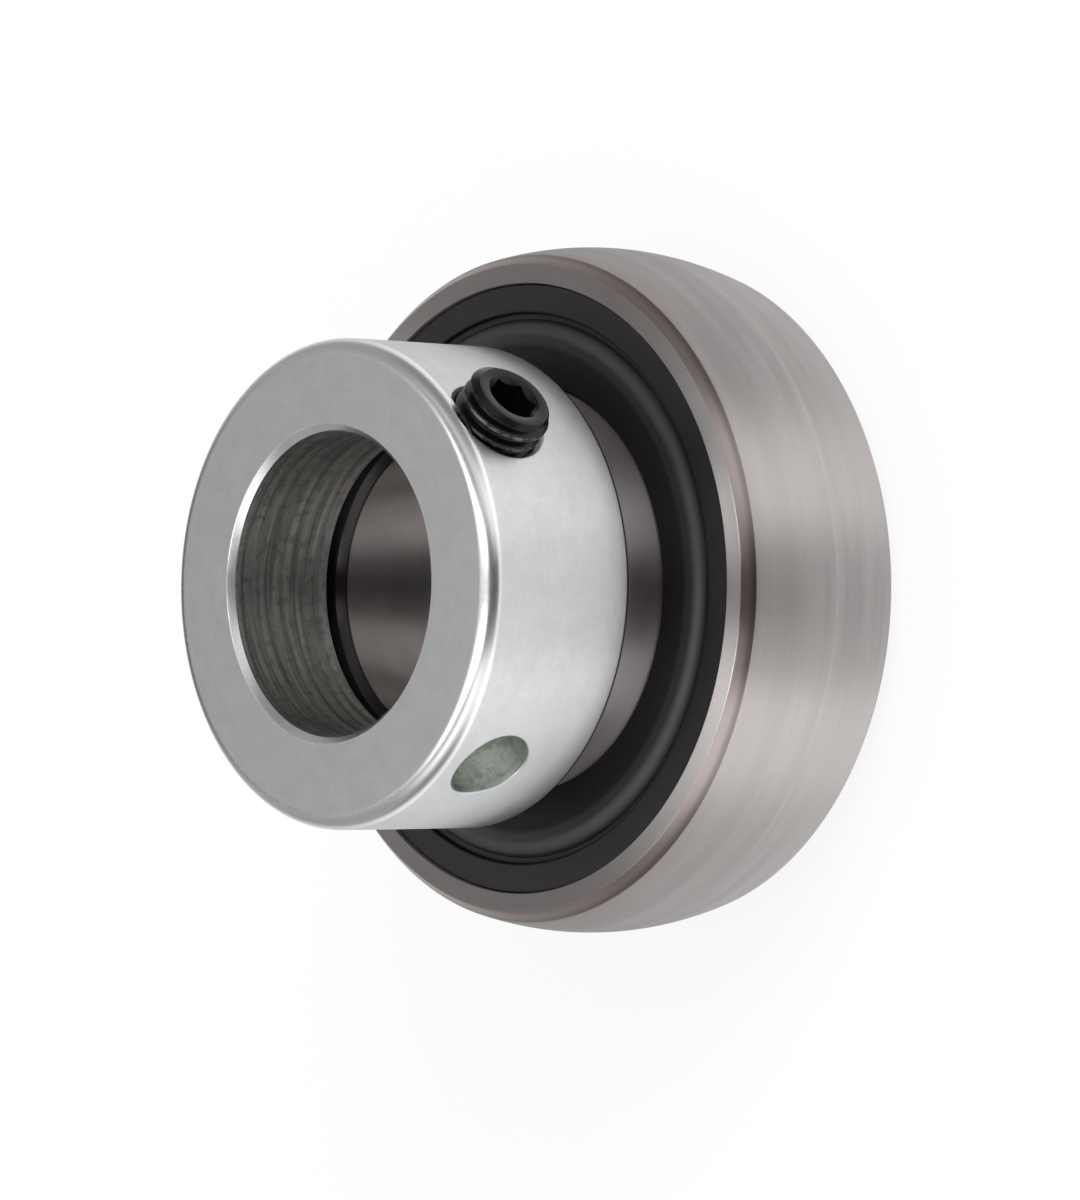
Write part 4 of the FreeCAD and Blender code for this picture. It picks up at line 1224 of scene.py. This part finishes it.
def make_world(studio):
    """A white room, in which metal shows two soft boxes, two lamps overhead and the camera's dark place."""
    world = bpy.data.worlds.new("studio")
    world.use_nodes = True
    bpy.context.scene.world = world
    world.node_tree.nodes.clear()
    direction = Signal(world.node_tree).add("ShaderNodeTexCoord", output="Generated")
    x, y, z = direction.parts()
    below = z.fade(-0.3, 0.05)
    high = z.ramp(0.2, 0.5)
    above = z.ramp(0.78, 0.92)
    low = z.fade(0.4, 0.6)
    facing = (x * 0.74 + z * 0.67 - high * 0.4).ramp(-0.35, 0.1) * z.fade(0.72, 0.86)
    left_box = abs(y + 0.65).fade(0.1, 0.32) * facing
    right_box = abs(y - 0.53).fade(0.08, 0.36) * facing
    left_lamp = abs(y + 0.24).fade(0.05, 0.16) * above
    right_lamp = abs(y - 0.2).fade(0.04, 0.14) * above
    level = 0.3 + below * x.ramp(-0.8, -0.3, 0.36, 0.8) + x.ramp(-0.6, -0.2, 0.14, 0.0)
    level = level * (1 - x.ramp(-0.5, -0.2, 0.1, 0.0) * abs(y).ramp(0.25, 0.5))
    level = level + left_box * (1.3 - low * 0.35 - below * 0.35) + right_box * (0.6 + low * 0.3 - below * 0.5)
    level = level + left_lamp * 4.6 + right_lamp * 3.4
    nearness = direction.add("ShaderNodeVectorMath", {0: direction, 1: CAMERA_SIDE}, "Value",
                             operation="DOT_PRODUCT")
    camera_place = nearness.ramp(math.cos(math.radians(30)), math.cos(math.radians(14)))
    between = abs(y).fade(0.08, 0.28) * z.ramp(-0.3, -0.1) * low
    mirror = level * (1 - camera_place * 0.42) * (1 - between * 0.6)
    warm = (1.0, 0.87, 0.85)
    camera = direction.add("ShaderNodeLightPath", output="Is Camera Ray")
    glossy = camera.output("Is Glossy Ray")
    clear = camera.math("MAXIMUM", camera, camera.output("Is Transmission Ray"))
    strength = glossy * mirror + (1 - glossy) * studio.ambient
    tint = mix_colours(glossy, WHITE, mix_colours(mirror.ramp(0.15, 0.6), warm, WHITE))
    strength = clear + (1 - clear) * strength
    background = direction.add("ShaderNodeBackground", {"Color": tint, "Strength": strength})
    direction.add("ShaderNodeOutputWorld", {"Surface": background})


def make_floor(studio, height):
    """A plain pale floor that keeps the object's shadow."""
    mesh = bpy.data.meshes.new("floor")
    half = 4.0
    corners = [(-half, -half), (half, -half), (half, half), (-half, half)]
    mesh.from_pydata([(x, y, height) for x, y in corners], [], [(0, 1, 2, 3)])
    floor = new_piece("floor", mesh)
    floor.visible_glossy = False
    surface = Surface("floor_paper")
    surface.set(Base_Color=shades(surface.noise(60.0, 2.0), studio.floor, 0.995, 1.0), Roughness=0.9,
                Specular_IOR_Level=0.1)
    seen = surface.add("ShaderNodeLightPath", output="Is Camera Ray")
    white = surface.add("ShaderNodeEmission", {"Color": (*WHITE, 1.0), "Strength": 1.0})
    paper = Signal(surface.tree, surface.shader.outputs[0])
    surface.show(surface.add("ShaderNodeMixShader", {0: seen * 0.85, 1: paper, 2: white}))
    mesh.materials.append(surface.material)


def make_bore_shade(height):
    """The dim ground under the shaft bore, which only the polished bore shows."""
    shell = bmesh.new()
    bmesh.ops.create_circle(shell, cap_ends=True, segments=64, radius=SHAFT_RADIUS + 1.2 * MM)
    bmesh.ops.translate(shell, verts=shell.verts, vec=(0.0, 0.0, height))
    mesh = bpy.data.meshes.new("bore_shade")
    shell.to_mesh(mesh)
    shell.free()
    shade = new_piece("bore_shade", mesh)
    shade.visible_camera = False
    shade.visible_diffuse = False
    shade.visible_shadow = False
    surface = Surface("bore_shade")
    edge = abs(surface.y).ramp(0.4 * SHAFT_RADIUS, 0.75 * SHAFT_RADIUS)
    dark, clear = (0.03, 0.03, 0.03), (1.0, 0.94, 0.92)
    surface.show(surface.add("ShaderNodeBsdfTransparent", {"Color": mix_colours(edge, dark, clear)}))
    mesh.materials.append(surface.material)


def add_lamp(name, place, size, power):
    """A soft square lamp that points at the bearing."""
    data = bpy.data.lights.new(name, "AREA")
    data.size = size
    data.energy = power
    lamp = new_piece(name, data)
    lamp.location = place
    lamp.rotation_mode = "QUATERNION"
    lamp.rotation_quaternion = (Vector((0.0, 0.0, 5.0 * MM)) - Vector(place)).to_track_quat("-Z", "Y")
    lamp.visible_camera = False
    lamp.visible_glossy = False


def make_camera(studio):
    """The photograph's viewpoint: the shaft axis lies level, with the collar to the left."""
    back = Vector(CAMERA_SIDE).normalized()
    right = Vector(CAMERA_UP).cross(back).normalized()
    data = bpy.data.cameras.new("camera")
    data.lens = studio.lens
    data.sensor_width = 36.0
    data.clip_start = 0.01
    data.clip_end = 50.0
    camera = new_piece("camera", data)
    turned = Matrix((right, back.cross(right), back)).transposed().to_4x4()
    camera.matrix_world = Matrix.Translation(CAMERA_PLACE) @ turned
    bpy.context.scene.camera = camera


def make_stage():
    """Floor, surroundings, lamps and camera."""
    studio = settings().studio
    bpy.context.scene.view_settings.view_transform = "Standard"
    make_world(studio)
    make_floor(studio, cad_box[0].z)
    make_bore_shade(cad_box[0].z - 0.1 * MM)
    add_lamp("key_lamp", (0.25, 0.45, 0.45), size=0.35, power=2.2)
    add_lamp("fill_lamp", (0.5, -0.35, 0.4), size=0.4, power=0.8)
    make_camera(studio)


class BEARING_OT_outer_ring(bpy.types.Operator):
    """Make the outer ring"""

    bl_idname = "bearing.outer_ring"
    bl_label = "Outer Ring"

    def execute(self, context):
        make_outer_ring()
        return {"FINISHED"}


class BEARING_OT_inner_ring(bpy.types.Operator):
    """Make the inner ring with its cam"""

    bl_idname = "bearing.inner_ring"
    bl_label = "Inner Ring"

    def execute(self, context):
        make_inner_ring()
        return {"FINISHED"}


class BEARING_OT_balls(bpy.types.Operator):
    """Make the balls"""

    bl_idname = "bearing.balls"
    bl_label = "Balls"

    def execute(self, context):
        make_balls()
        return {"FINISHED"}


class BEARING_OT_cage(bpy.types.Operator):
    """Make the pressed cage and its rivets"""

    bl_idname = "bearing.cage"
    bl_label = "Cage and Rivets"

    def execute(self, context):
        make_cage()
        return {"FINISHED"}


class BEARING_OT_seals(bpy.types.Operator):
    """Make the moulded seals and their plates"""

    bl_idname = "bearing.seals"
    bl_label = "Seals and Plates"

    def execute(self, context):
        make_seals()
        return {"FINISHED"}


class BEARING_OT_locking_collar(bpy.types.Operator):
    """Make the locking collar"""

    bl_idname = "bearing.locking_collar"
    bl_label = "Locking Collar"

    def execute(self, context):
        make_locking_collar()
        return {"FINISHED"}


class BEARING_OT_set_screw(bpy.types.Operator):
    """Make the set screw"""

    bl_idname = "bearing.set_screw"
    bl_label = "Set Screw"

    def execute(self, context):
        make_set_screw()
        return {"FINISHED"}


class BEARING_OT_stage(bpy.types.Operator):
    """Make the floor, the light and the camera"""

    bl_idname = "bearing.stage"
    bl_label = "Stage"

    def execute(self, context):
        make_stage()
        return {"FINISHED"}


OPERATORS = (BEARING_OT_outer_ring, BEARING_OT_inner_ring, BEARING_OT_balls, BEARING_OT_cage,
             BEARING_OT_seals, BEARING_OT_locking_collar, BEARING_OT_set_screw, BEARING_OT_stage)


class BEARING_PT_panel(bpy.types.Panel):
    """Sizes, finishes and makers of the insert bearing"""

    bl_idname = "BEARING_PT_panel"
    bl_label = "Insert Bearing"
    bl_space_type = "VIEW_3D"
    bl_region_type = "UI"
    bl_category = "Insert Bearing"

    def draw(self, context):
        for group in InsertBearing.__annotations__:
            values = getattr(context.scene.insert_bearing, group)
            box = self.layout.box()
            box.label(text=group.title())
            for item in type(values).__annotations__:
                box.prop(values, item)
        for operator in OPERATORS:
            self.layout.operator(operator.bl_idname)


CLASSES = (RingSizes, RollingSizes, SealSizes, CollarSizes, ScrewSizes, Finishes, StudioSettings,
           InsertBearing, *OPERATORS, BEARING_PT_panel)


def register():
    """Register the classes and the scene's settings."""
    for item in CLASSES:
        bpy.utils.register_class(item)
    bpy.types.Scene.insert_bearing = PointerProperty(type=InsertBearing)


def unregister():
    """Take the classes and the settings away again."""
    del bpy.types.Scene.insert_bearing
    for item in reversed(CLASSES):
        bpy.utils.unregister_class(item)


def main():
    """Make every piece and the stage."""
    register()
    for operator in OPERATORS:
        group, name = operator.bl_idname.split(".")
        getattr(getattr(bpy.ops, group), name)()


if __name__ == "__main__":
    main()
